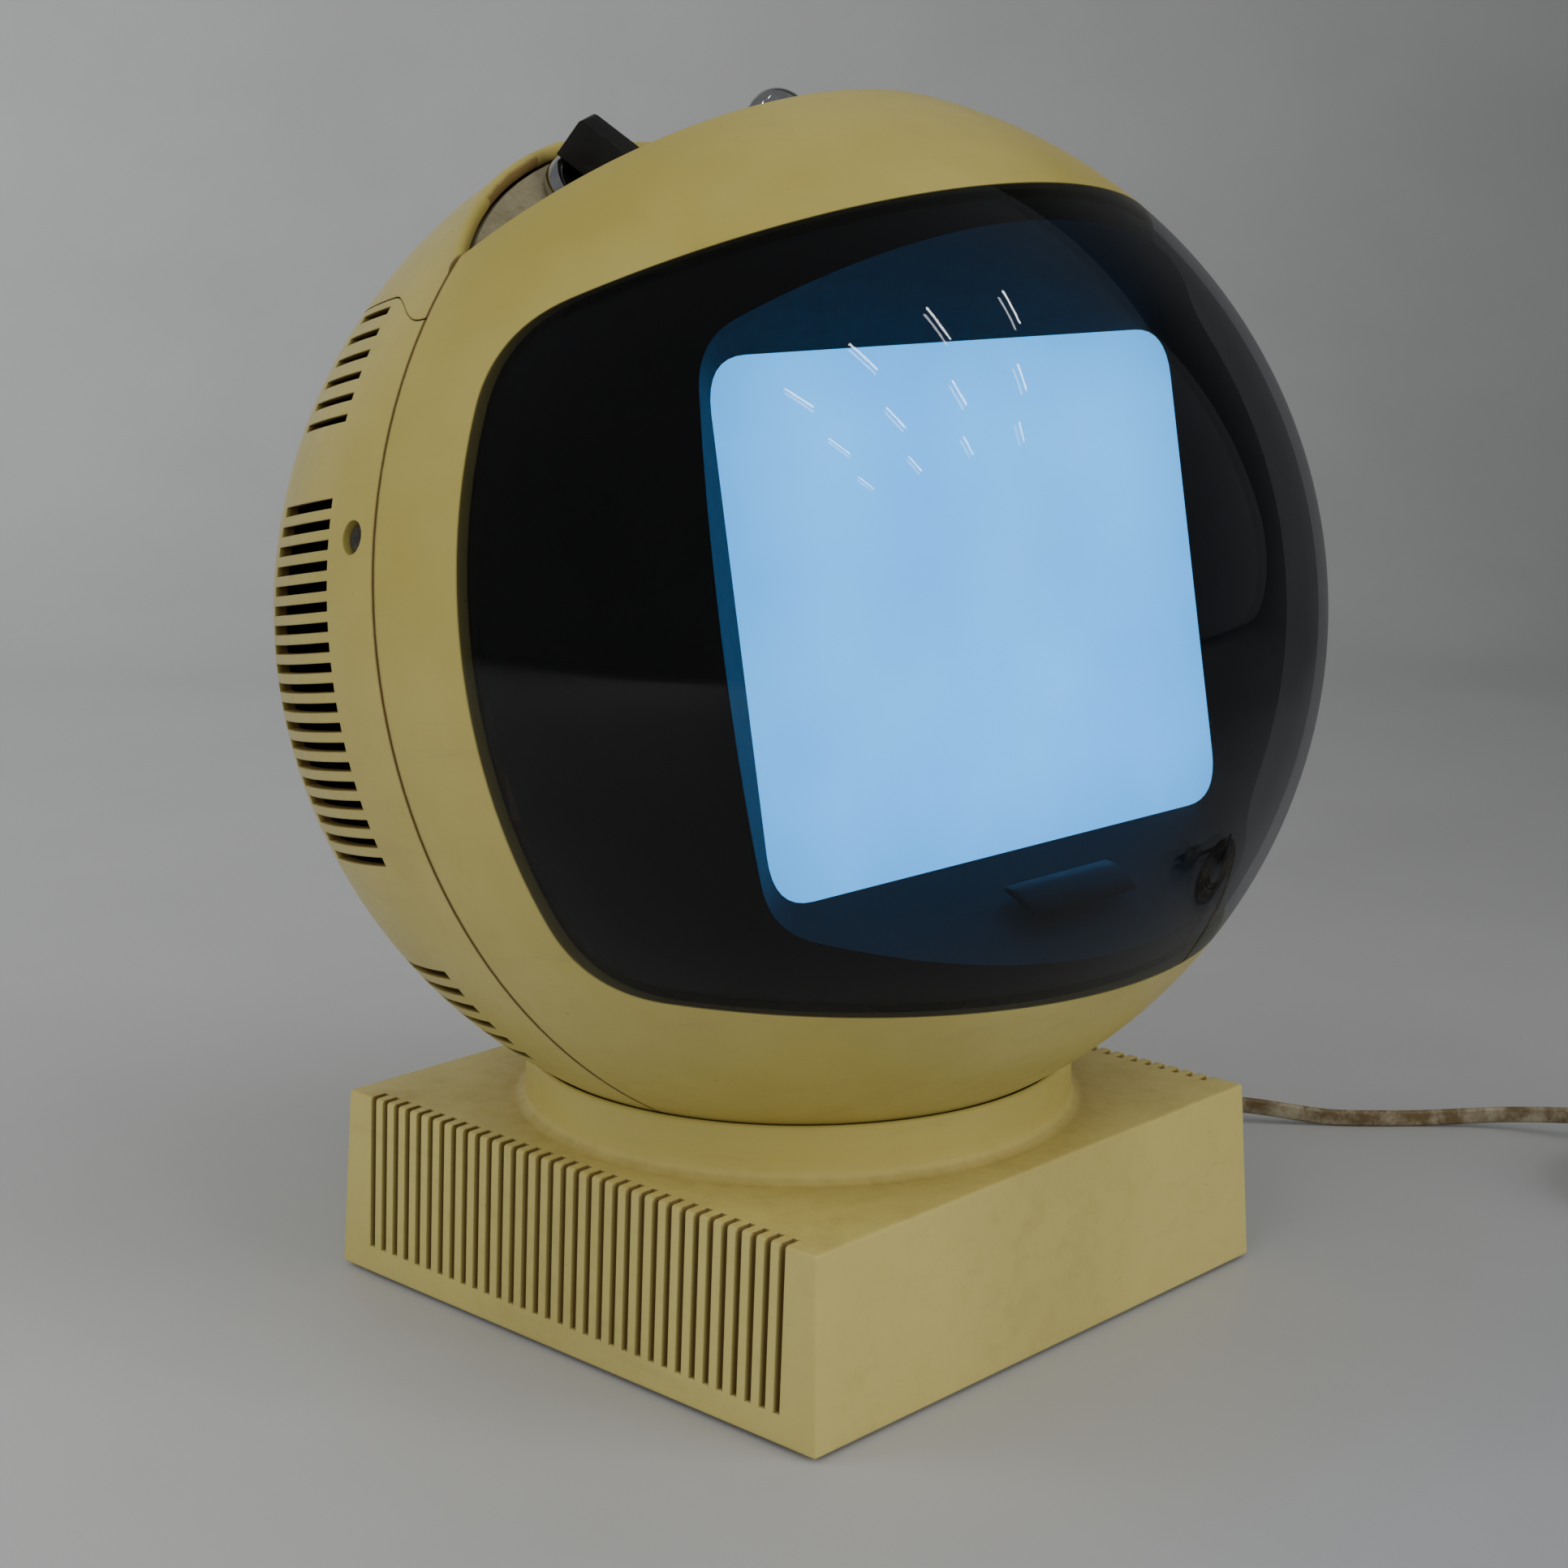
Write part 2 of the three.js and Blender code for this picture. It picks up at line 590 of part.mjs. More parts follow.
function rearShell() {
  const half = common(cut(ball(BALL_R), ball(SHELL_R, LINING_SEGMENTS)), behind(SEAM_Y + 0.2));
  const places = SIDES.map(screwPlace);
  const wells = places.map((place) => aimed(disc(3, -12, 8, 16), place, place));
  const hubs = places.map((place) =>
    common(aimed(disc(5.6, -16, -1, 16), place, place), behind(SEAM_Y + 0.2)),
  );
  const jack = aimed(disc(3.2, -20, 20, 16), [0, 1, 0], [JACK_PLACE[0], 110, JACK_PLACE[1]]);
  const [halfX, halfZ] = TERMINAL_HALF.map((h) => h + GAP);
  const terminals = block(-halfX, halfX, 110, 150, TERMINAL_Z - halfZ, TERMINAL_Z + halfZ);
  const whole = join(half, ...hubs);
  const body = cut(whole, across(coverOutline(-0.2)), tiltSlot(), ...wells, jack, terminals);
  return cut(body, ...ventSlots());
}

// A recessed cross-head screw that draws the rear shell onto the front shell.
function sideScrew(side) {
  const place = screwPlace(side);
  const outline = [[0, -9.5], [1.4, -9], [1.4, -5], [2.7, -5], [2.7, -3.6], [1.9, -2.6], [0, -2.6]];
  return aimed(turned(outline, 12), place, place);
}

// ---------------------------------------------------------------- behind the visor
const SCREEN_Y = -66.5; // plane of the picture tube's face
const BEZEL_HALF = [85.5, 64.4]; // half width and height of the bezel at the screen
const BEZEL_FLARE = [1.287, 0.717]; // how fast its side and top walls open forwards
const BEZEL_WALL = 2.2;
const MASK_R = BALL_R - VISOR_WALL - 2.4; // outside radius of the black mask behind the visor
const MASK_SKIN = 2;

function bezelFlare(margin, y0) {
  const depth = 80;
  const half = BEZEL_HALF.map((h) => h + margin);
  const halfFront = half.map((h, i) => h + BEZEL_FLARE[i] * depth);
  const back = flaredBox(SCREEN_Y, SCREEN_Y - depth, half, halfFront, 13);
  return common(back, before(y0));
}

function screenMask() {
  const outline = visorPrism(-1.2);
  const dome = cut(ball(MASK_R), ball(MASK_R - MASK_SKIN, LINING_SEGMENTS));
  const skin = common(dome, outline, before(VISOR_SIDE_Y - 1));
  const walls = common(bezelFlare(BEZEL_WALL, SCREEN_Y), ball(MASK_R - 0.2), outline);
  return cut(join(skin, walls), bezelFlare(0, 0));
}

// A blank raised block on the bezel's lower wall.
function nameBlock() {
  const y = -84;
  const z = -(BEZEL_HALF[1] + BEZEL_FLARE[1] * (-y + SCREEN_Y)) + 0.5;
  return across([[y - 6, z - 1.5], [y + 7, z + 8.2 - 1.5], [y + 5, z + 10.5], [y - 6, z + 4]], 46);
}

const GLASS_HALF = [93, 72];
const GLASS_REAR_Y = -46;
const NECK_R = 11.5;
const NECK_FRONT_Y = 24;
const NECK_REAR_Y = 104;
const CONE_SQUASH = 0.8; // height of the cone's section over its width

function pictureTube() {
  const front = SCREEN_Y + 0.5;
  const panel = flaredBox(front, GLASS_REAR_Y, GLASS_HALF, [91, 70], 20);
  const outline = [
    [0, GLASS_REAR_Y - 1],
    [90, GLASS_REAR_Y - 1],
    [88, GLASS_REAR_Y + 4],
    [58, GLASS_REAR_Y + 28],
    [30, -4],
    [NECK_R, NECK_FRONT_Y],
    [NECK_R, NECK_REAR_Y],
    [NECK_R - 3, NECK_REAR_Y + 3],
    [0, NECK_REAR_Y + 3],
  ];
  const turnedBack = geometryOf(turned(outline, 40)).rotateX(-Math.PI / 2);
  const position = turnedBack.attributes.position;
  for (let i = 0; i < position.count; i += 1) {
    const onNeck = position.getY(i) > NECK_FRONT_Y - 4;
    if (!onNeck) position.setZ(i, position.getZ(i) * CONE_SQUASH);
  }
  return join(panel, solid(turnedBack), anodeCap());
}

// The rubber cup over the tube's high-tension contact, on the upper slope of the cone.
function anodeCap() {
  const outline = [[0, -6], [11, -6], [13, -1], [11.5, 3], [5, 6], [4, 11], [0, 11]];
  return aimed(turned(outline, 20), [0, 1, 1], [0, -30, 58.4]);
}

// The steel band round the face of the tube, with an ear at each corner.
function tubeBand() {
  const y0 = -62;
  const y1 = -53;
  const outer = flaredBox(y0, y1, [95.6, 74.6], [95.6, 74.6], 22);
  const clear = GLASS_HALF.map((h) => h + GAP);
  const inner = flaredBox(y0 - 1, y1 + 1, clear, clear, 20);
  const ears = CORNERS.map(([i, j]) => {
    const arm = aimed(disc(5, 0, 3, 12), [0, -1, 0], [i * 89.5, y1 + 0.6, j * 68.5]);
    return cut(arm, inner, aimed(disc(2, -5, 8, 8), [0, -1, 0], [i * 91, y1, j * 70]));
  });
  return join(cut(outer, inner), ...ears);
}

function deflectionYoke() {
  const outline = [
    [NECK_R + 0.6, 25],
    [30.8, -3.2],
    [41.5, -8],
    [44, -8],
    [44, -4],
    [30, 6],
    [28, 24],
    [20, 30],
    [NECK_R + 0.6, 30],
  ];
  return aimed(turned(outline, 28), [0, 1, 0]);
}

function tubeSocket() {
  const y = NECK_REAR_Y + 3 + GAP;
  return aimed(join(disc(13, y, y + 7, 20), disc(22, y + 5, y + 6.6, 20)), [0, 1, 0]);
}

const CHASSIS_Z = -58;
const CHASSIS_BOARD = 1.8;

// Main board with a screened amplifier, a tall capacitor and a transistor on its cooling plate.
function mainBoard() {
  const top = CHASSIS_Z + CHASSIS_BOARD;
  const board = block(-62, 62, 10, 90, CHASSIS_Z, top);
  const amplifier = block(-12, 20, 22, 50, top - 0.5, top + 17);
  const capacitor = moved(turned([[0, -0.5], [8, -0.5], [8, 27], [7, 28], [0, 28]], 16), -30, 56, top);
  const coolingPlate = block(-54, -24, 78, 81, top - 0.5, top + 26);
  const transistor = block(-46, -32, 73, 78.5, top + 8, top + 22);
  return join(board, amplifier, capacitor, coolingPlate, transistor);
}

// A steel angle under each edge of the main board.
function chassisRail(side) {
  const low = CHASSIS_Z - GAP;
  const x = side * 54;
  const web = side * 59;
  const flange = block(x - 6, x + 6, -34, 88, low - 1.6, low);
  return join(flange, block(web - 1, web + 1, -34, 88, low - 9, low - 1));
}

const boardTop = CHASSIS_Z + CHASSIS_BOARD + GAP;

function flyback() {
  const window = block(33, 49, 50, 74, boardTop + 6, boardTop + 30);
  const core = cut(block(26, 56, 56, 68, boardTop, boardTop + 36), window);
  const coil = aimed(disc(15, 4, 16, 20), [0, 0, 1], [29.5, 62, boardTop + 6]);
  return join(core, coil);
}

// ---------------------------------------------------------------- speaker
// The pressed frame with the magnet behind it.
function speakerFrame() {
  const basket = [[18, 0], [20, 0], [22, 6], [37, 14], [38.5, 14], [38.5, 16], [34, 16], [20.5, 8.4]];
  const magnet = [[16.5, 7], [0, 7], [0, -14], [16.5, -14], [16.5, 0]];
  const outline = [...basket, ...magnet];
  return aimed(turned(outline, 28), [1, 0, 0], [74, 45, 0]);
}

function speakerCone() {
  const rear = [[0, 7.6], [6, 10.2], [9, 9], [20, 10.2], [33, 16.4], [34, 17.6]];
  const front = [[33, 17.6], [20, 11.4], [9, 10.2], [6, 11.6], [0, 9.4]];
  const outline = [...rear, ...front];
  return aimed(turned(outline, 28), [1, 0, 0], [74.4, 45, 0]);
}

// ---------------------------------------------------------------- control panel and knobs
// Panel coordinates: x right, y up the panel, z out of it; the origin is the foot of the
// perpendicular from the ball's centre onto the panel's face.
const panelDistance =
  WELL_FLOOR[1] * Math.sin(PANEL_ANGLE) - WELL_FLOOR[0] * Math.cos(PANEL_ANGLE) - PANEL_SUNK;
const SELECTOR_X = 39.2;
const SELECTOR_UP = 95.2;
const SELECTOR_R = 17.2;
const SMALL_X = [-13.5, 0, 13.5];
const SMALL_UP = 95;
const SMALL_R = 5.5;

const panelFrame = new THREE.Group();
panelFrame.rotation.x = Math.PI / 2 - PANEL_ANGLE;
panelFrame.position.set(
  0,
  -panelDistance * Math.cos(PANEL_ANGLE),
  panelDistance * Math.sin(PANEL_ANGLE),
);
head.add(panelFrame);

function controlPanel() {
  const sunk = PANEL_SUNK / Math.sin(PANEL_ANGLE);
  const thick = PANEL_THICK / Math.sin(PANEL_ANGLE);
  const y0 = SEAM_Y + 0.6;
  const plate = across([
    [y0, rearWallZ(y0) - sunk],
    [60, rearWallZ(60) - sunk],
    [60, rearWallZ(60) - sunk - thick],
    [y0, rearWallZ(y0) - sunk - thick],
  ]);
  const direction = [0, -Math.cos(PANEL_ANGLE), Math.sin(PANEL_ANGLE)];
  const pierce = (x, up, r) => aimed(disc(r, -10, 10, 16), direction, fromPanel(x, up));
  const holes = [
    ...SIDES.map((s) => pierce(s * SELECTOR_X, SELECTOR_UP, 4.3)),
    ...SMALL_X.map((x) => pierce(x, SMALL_UP, 2.6)),
  ];
  return cut(common(plate, ball(SHELL_R - 2), below(LANDING_Z - LANDING - GAP)), ...holes);
}

// A point on the panel's face, in head coordinates.
function fromPanel(x, up) {
  return [
    x,
    -panelDistance * Math.cos(PANEL_ANGLE) + up * Math.sin(PANEL_ANGLE),
    panelDistance * Math.sin(PANEL_ANGLE) + up * Math.cos(PANEL_ANGLE),
  ];
}

// Round chrome skirt under each selector.
function selectorSkirt(x) {
  const r = SELECTOR_R;
  const side = [[0, 0.6], [r - 1.6, 0.6], [r, 2.6], [r - 0.3, 5]];
  const top = [[r - 1.8, 6.4], [r - 3.4, 5.9], [0, 5.6]];
  return moved(turned([...side, ...top], 24), x, SELECTOR_UP, 0);
}

// Bar handle that stands on the skirt; the bar's length lies along the given angle.
function selectorBar(x, angle) {
  const r = SELECTOR_R - 0.6;
  const outline = roundedOutline([[-r, 0], [r, 0], [r - 1.5, 12.6], [-r + 1.5, 12.6]], 1.6);
  const slab = new THREE.ExtrudeGeometry(outline, { depth: 7.2, bevelEnabled: false, curveSegments: 3 });
  slab.translate(0, 0, -3.6).rotateX(Math.PI / 2).rotateZ(angle).translate(0, 0, 6.7);
  return moved(solid(slab), x, SELECTOR_UP, 0);
}

const selectorShaft = (x) => moved(disc(3.9, -7.5, 6.4, 16), x, SELECTOR_UP, 0);

// A tuner's screened box under the panel.
function tunerBox(x) {
  const [halfX, halfY] = [16, 15];
  const up = SELECTOR_UP - 4;
  return block(x - halfX, x + halfX, up - halfY, up + halfY, -44, -8);
}

function smallKnob(x) {
  const r = SMALL_R;
  const cap = turned([[0, 0.8], [r, 0.8], [r, 6.5], [r - 0.8, 8], [0, 8]], 18);
  return moved(join(cap, disc(2.2, -7.5, 1, 12)), x, SMALL_UP, 0);
}

function controlBoard() {
  const board = block(-20, 20, SMALL_UP - 12, SMALL_UP + 12, -18, -16.4);
  const pots = SMALL_X.map((x) => moved(disc(5.8, -17, -8, 16), x, SMALL_UP, 0));
  return join(board, ...pots);
}

// ---------------------------------------------------------------- rear of the ball
const JACK_PLACE = [34, -44]; // x and z of the earphone jack
const TERMINAL_HALF = [17, 7];
const TERMINAL_Z = -44;

function aerialTerminals() {
  const face = Math.sqrt(BALL_R ** 2 - TERMINAL_Z ** 2) - 4;
  const [halfX, halfZ] = TERMINAL_HALF;
  const plate = block(-halfX, halfX, face - 8, face, TERMINAL_Z - halfZ, TERMINAL_Z + halfZ);
  const post = (x) => aimed(disc(2.2, -1, 3, 10), [0, 1, 0], [x, face, TERMINAL_Z]);
  const posts = [-10.5, -3.5, 3.5, 10.5].map(post);
  return join(plate, ...posts);
}

function earphoneJack() {
  const face = Math.sqrt(SHELL_R ** 2 - JACK_PLACE[1] ** 2 - JACK_PLACE[0] ** 2);
  const body = cut(join(disc(5.5, -16, -4, 16), disc(2.9, -6, 2, 16)), disc(1.8, -12, 6, 10));
  return aimed(body, [0, 1, 0], [JACK_PLACE[0], face - 1, JACK_PLACE[1]]);
}

// ================================================================ MAINS LEAD
const CORD_R = 2.6;
const CORD_NECK_R = 4.2;
const CORD_EXIT = [18, 90.35, 15]; // centre of the strain relief in the rear wall
const RELIEF_LENGTH = 32;

// Points along the lead from the strain relief to the coil.
const CORD_ROUTE = [
  [18, 123, 15],
  [18.3, 130, 14.3],
  [21, 139, 12.3],
  [27, 147, 9.9],
  [36.5, 152.5, 7.5],
  [48, 154, 5.6],
  [60, 151, 4.2],
  [72, 144, 3.3],
  [85, 133, 2.8],
  [99, 117.5, 2.7],
  [113, 98, 2.7],
  [127, 75, 2.8],
  [141, 51, 3.2],
  [156, 26, 4.2],
  [171, 1, 5.6],
  [186.8, -24.5, 6],
  [203, -44.6, 2.9],
  [213.7, -57, 2.7],
  [224, -67.4, 2.7],
  [239.2, -87.7, 4.9],
  [246.2, -107.3, 7.6],
  [253.5, -125, 8.8],
  [258.2, -132.7, 8.9],
];

const COIL_CENTRE = [232, -166];
const COIL_LIFT = 1.05;
const COIL_INNER_R = 18.6;
const COIL_OUTER_R = 39.6;
const COIL_HEIGHT = 10.5;
const TAIL_ROUTE = [
  [244.6, -200.6, 3.7],
  [236, -203.7, 3.8],
  [225.8, -207.4, 4.4],
  [216.4, -210.9, 5.6],
  [209, -213.6, 6.7],
  [202.3, -216, 7],
];

function strainRelief() {
  const outline = [
    [0, -9],
    [6.5, -9],
    [6.5, -6.5],
    [CORD_NECK_R, -3.6],
    [CORD_NECK_R, 0.5],
    [6, 0.6],
    [6, 3],
    [4.6, 3.6],
    [3.3, RELIEF_LENGTH],
    [0, RELIEF_LENGTH],
  ];
  return aimed(turned(outline, 20), [0, 1, 0], CORD_EXIT);
}

const powerCord = () => tubeAlong(CORD_ROUTE, CORD_R, 8, 48);
const cordTail = () => tubeAlong(TAIL_ROUTE, CORD_R, 8, 8);

function cordCoil() {
  const z = COIL_LIFT;
  const top = z + COIL_HEIGHT;
  const outline = [
    [COIL_INNER_R, z + 2],
    [COIL_INNER_R + 2, z],
    [COIL_OUTER_R - 2, z],
    [COIL_OUTER_R, z + 2],
    [COIL_OUTER_R, top - 2],
    [COIL_OUTER_R - 2, top],
    [COIL_INNER_R + 2, top],
    [COIL_INNER_R, top - 2],
  ];
  return moved(turned(outline, 24), ...COIL_CENTRE, 0);
}

// A strap round the coil's section, on its side away from the television.
function coilTie() {
  const top = COIL_LIFT + COIL_HEIGHT;
  const strap = cut(
    block(COIL_INNER_R - 1.4, COIL_OUTER_R + 1.4, -3, 3, 0.1, top + 1.1),
    block(COIL_INNER_R - 0.7, COIL_OUTER_R + 0.7, -4, 4, 0.8, top + 0.4),
  );
  return moved(aimedFlat(strap, -35), ...COIL_CENTRE, 0);
}

// Turns a body about +Z by an angle in degrees.
const aimedFlat = (body, degrees) => solid(geometryOf(body).rotateZ(THREE.MathUtils.degToRad(degrees)));

// Two-pin plug; its lead enters at the origin and its blades point along +X.
const PLUG_HEADING = -160;
const PLUG_PLACE = [202, -216.1, 7];
const PLUG_LENGTH = 27;
const BLADE_SPACING = 12.7;
const BLADE_HALF = [0.75, 3.2]; // half thickness and half height of a blade
const BLADE_BURIED = 6; // length of a blade inside the plug

function placedPlug(body) {
  return moved(aimedFlat(body, PLUG_HEADING), ...PLUG_PLACE);
}

function plugBody() {
  const half = [[0, 5], [8, 9.5], [PLUG_LENGTH, 11]];
  const mirrored = [...half].reverse().map(([x, y]) => [x, -y]);
  const outline = roundedOutline([...mirrored.reverse(), ...half.reverse()], 2.5);
  const options = { depth: 13.2, bevelEnabled: false, curveSegments: 3 };
  const slab = new THREE.ExtrudeGeometry(outline, options);
  const blades = [-1, 1].map((s) => {
    const y = (s * BLADE_SPACING) / 2;
    const x0 = PLUG_LENGTH - BLADE_BURIED - GAP;
    const [halfY, halfZ] = BLADE_HALF.map((h) => h + GAP);
    return block(x0, PLUG_LENGTH + 1, y - halfY, y + halfY, -halfZ, halfZ);
  });
  return placedPlug(cut(solid(slab.translate(0, 0, -6.6)), ...blades));
}

function plugBlade(side) {
  const y = (side * BLADE_SPACING) / 2;
  const [halfY, halfZ] = BLADE_HALF;
  const x0 = PLUG_LENGTH - BLADE_BURIED;
  return placedPlug(block(x0, PLUG_LENGTH + 17, y - halfY, y + halfY, -halfZ, halfZ));
}

// ================================================================ ASSEMBLY
const SIDE_NAMES = { "-1": "left", 1: "right" };
const CORNER_NAMES = ["front_left", "front_right", "rear_right", "rear_left"];

function assembleBase() {
  add(television, "base_housing", baseHousing(), CREAM);
  add(television, "bottom_plate", bottomPlate(), BLACK);
  CORNERS.forEach(([i, j], k) => {
    const place = CORNER_NAMES[k];
    add(television, `foot_${place}`, moved(foot(), i * FOOT_PLACE, j * FOOT_PLACE, 0), RUBBER);
    const lidScrew = screw(2.9, LID_Z, 1, 1.3, 10);
    add(television, `base_screw_${place}`, moved(lidScrew, i * LID_POST, j * LID_POST, 0), STEEL);
  });
  add(television, "pivot_plate", pivotPlate(), STEEL);
  const washerZ = PIVOT_PLATE_Z + PIVOT_PLATE + GAP;
  add(television, "thrust_washer", ring(PIVOT_R + GAP, 26, washerZ, washerZ + 2, 28), NYLON);
  add(television, "transformer_core", transformerCore(), STEEL);
  add(television, "transformer_winding", transformerWinding(), COPPER);
  add(television, "power_board", powerBoard(), BOARD);
  add(television, "cord_strain_relief", strainRelief(), BLACK);
  add(television, "power_cord", powerCord(), CORD);
  add(television, "cord_coil", join(cordCoil(), cordTail()), CORD);
  add(television, "coil_tie", coilTie(), BLACK);
  add(television, "plug_body", plugBody(), CORD);
  for (const side of SIDES) add(television, `plug_blade_${SIDE_NAMES[side]}`, plugBlade(side), STEEL);
}

function assembleSaddle() {
  add(saddle, "saddle_dish", saddleDish(), STEEL);
  add(saddle, "felt_ring", feltRing(), FELT);
  add(saddle, "pivot_bolt", pivotBolt(), STEEL);
  add(saddle, "clamp_cup", clampCup(), STEEL);
  add(saddle, "clamp_spring", clampSpring(), STEEL);
  add(saddle, "pivot_nut", pivotNut(), STEEL);
}

function assembleBall() {
  add(head, "front_shell", frontShell(), CREAM);
  add(head, "rear_shell", rearShell(), CREAM);
  add(head, "rear_top_cover", rearTopCover(), CREAM);
  add(head, "hanging_eye", hangingEye(), CHROME);
  add(head, "visor", visor(), SMOKE);
  add(head, "screen_mask", screenMask(), MASK);
  add(head, "name_block", nameBlock(), BLACK);
  add(head, "picture_tube", pictureTube(), SCREEN);
  add(head, "tube_band", tubeBand(), STEEL);
  add(head, "deflection_yoke", deflectionYoke(), COPPER);
  add(head, "tube_socket", tubeSocket(), BLACK);
  add(head, "main_board", mainBoard(), BOARD);
  for (const side of SIDES) {
    add(head, `chassis_rail_${SIDE_NAMES[side]}`, chassisRail(side), STEEL);
    add(head, `side_screw_${SIDE_NAMES[side]}`, sideScrew(side), STEEL);
  }
  add(head, "flyback_transformer", flyback(), CARD);
  add(head, "speaker_frame", speakerFrame(), STEEL);
  add(head, "speaker_cone", speakerCone(), CARD);
  add(head, "aerial_terminals", aerialTerminals(), BLACK);
  add(head, "earphone_jack", earphoneJack(), BLACK);
}

function assembleControls() {
  add(head, "control_panel", controlPanel(), PANEL);
  const selectors = [["vhf", -1, -1.15], ["uhf", 1, 0.05]];
  for (const [name, side, angle] of selectors) {
    const x = side * SELECTOR_X;
    add(panelFrame, `${name}_skirt`, join(selectorSkirt(x), selectorShaft(x)), CHROME);
    add(panelFrame, `${name}_bar`, selectorBar(x, angle), BLACK);
    add(panelFrame, `${name}_tuner`, tunerBox(x), STEEL);
  }
  const small = ["contrast", "volume", "brightness"];
  SMALL_X.forEach((x, i) => {
    add(panelFrame, `${small[i]}_knob`, smallKnob(x), BLACK);
  });
  add(panelFrame, "control_board", controlBoard(), BOARD);
}

assembleBase();
assembleSaddle();
assembleBall();
assembleControls();

export default television;
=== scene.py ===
"""Portable television: the detailed visual model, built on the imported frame."""
import math

import bmesh
import bpy
from mathutils import Euler, Matrix, Vector


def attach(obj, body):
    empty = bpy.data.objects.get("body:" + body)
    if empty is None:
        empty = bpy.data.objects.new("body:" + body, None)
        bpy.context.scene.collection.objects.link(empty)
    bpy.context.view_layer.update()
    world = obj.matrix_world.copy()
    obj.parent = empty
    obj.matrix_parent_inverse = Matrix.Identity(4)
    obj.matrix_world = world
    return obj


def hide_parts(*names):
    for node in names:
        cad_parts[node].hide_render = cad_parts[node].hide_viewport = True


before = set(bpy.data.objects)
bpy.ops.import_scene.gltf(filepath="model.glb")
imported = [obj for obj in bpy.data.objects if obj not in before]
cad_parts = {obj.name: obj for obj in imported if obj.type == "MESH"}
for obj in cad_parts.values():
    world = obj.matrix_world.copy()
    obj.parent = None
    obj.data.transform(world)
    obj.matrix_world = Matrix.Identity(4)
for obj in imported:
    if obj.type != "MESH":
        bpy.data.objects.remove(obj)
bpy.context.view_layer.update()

# The shapes are in millimetres, and make() turns a finished piece into metres.
# The camera and the lights are placed in metres.
MM = 0.001
BALL_R = 140
SHELL_R = 136.8
BALL_Z = 185.7
REST_SWIVEL = math.radians(-1.7)
REST_TILT = math.radians(-10.3)
SEAM_Y = 1.1
SEAM_GAP = 0.35
BASE_TOP_Z = 52
BASE_BOTTOM_Z = 1.2
BASE_HALF_LOW = 91
BASE_HALF_HIGH = 88.6
BASE_WALL = 3
PANEL_ANGLE = math.radians(40)
WELL_FLOOR = (0.9, 98.1)
WELL_SLOPE = 0.63
PANEL_SUNK = 2

HERE = Matrix.Identity(4)
HEAD_TURN = Euler((REST_TILT, 0, REST_SWIVEL), "XYZ")
HEAD = Matrix.Translation((0, 0, BALL_Z)) @ HEAD_TURN.to_matrix().to_4x4()
PANEL_DISTANCE = (
    WELL_FLOOR[1] * math.sin(PANEL_ANGLE)
    - WELL_FLOOR[0] * math.cos(PANEL_ANGLE)
    - PANEL_SUNK
)
PANEL_NORMAL = Vector((0, -math.cos(PANEL_ANGLE), math.sin(PANEL_ANGLE)))
PANEL_TURN = Matrix.Rotation(math.pi / 2 - PANEL_ANGLE, 4, "X")
PANEL = HEAD @ Matrix.Translation(PANEL_NORMAL * PANEL_DISTANCE) @ PANEL_TURN


def new_object(name, data):
    obj = bpy.data.objects.new(name, data)
    bpy.context.collection.objects.link(obj)
    return obj


# ---------- camera
CAMERA_PLACE = (-0.5507, -0.5142, 0.3064)
CAMERA_RIGHT = (0.687128, -0.726529, 0.003201)
CAMERA_UP = (0.155563, 0.151427, 0.976151)
CAMERA_SENSOR = 36
CAMERA_LENS = 64.77


def add_camera():
    """The camera stands to the front left of the set, a little above it."""
    right = Vector(CAMERA_RIGHT)
    up = Vector(CAMERA_UP)
    back = right.cross(up)
    data = bpy.data.cameras.new("camera")
    data.sensor_width = CAMERA_SENSOR
    data.lens = CAMERA_LENS
    data.dof.use_dof = False
    camera = new_object("camera", data)
    turn = Matrix((right, up, back)).transposed().to_4x4()
    camera.matrix_world = Matrix.Translation(CAMERA_PLACE) @ turn
    bpy.context.scene.camera = camera


add_camera()


# ---------- shapes
# A shape is a list of vertices and a list of faces.
def box(x0, x1, y0, y1, z0, z1):
    verts = [(x, y, z) for z in (z0, z1) for y in (y0, y1) for x in (x0, x1)]
    faces = [(0, 2, 3, 1), (4, 5, 7, 6), (0, 1, 5, 4), (2, 6, 7, 3), (0, 4, 6, 2), (1, 3, 7, 5)]
    return verts, faces


def lathe(profile, segments=64):
    """A closed (radius, height) profile, counter-clockwise, turned about +Z."""
    verts = []
    faces = []
    rings = []
    for r, z in profile:
        if r < 1e-6:
            rings.append([len(verts)] * segments)
            verts.append((0, 0, z))
            continue
        rings.append([len(verts) + i for i in range(segments)])
        for i in range(segments):
            angle = 2 * math.pi * i / segments
            verts.append((r * math.cos(angle), r * math.sin(angle), z))
    for k, low in enumerate(rings):
        high = rings[(k + 1) % len(rings)]
        for i in range(segments):
            j = (i + 1) % segments
            corners = [low[i], low[j], high[j], high[i]]
            face = list(dict.fromkeys(corners))
            if len(face) > 2:
                faces.append(face)
    return verts, faces


def sphere(radius, segments=144):
    rings = segments // 2
    profile = []
    for i in range(rings + 1):
        angle = math.pi * (i / rings - 0.5)
        r = radius * math.cos(angle) if 0 < i < rings else 0
        profile.append((r, radius * math.sin(angle)))
    return lathe(profile, segments)


def tube_faces(count):
    """The two ends and the sides between two rings of count vertices each."""
    faces = [list(range(count))[::-1], list(range(count, 2 * count))]
    for i in range(count):
        j = (i + 1) % count
        faces.append([i, j, count + j, count + i])
    return faces


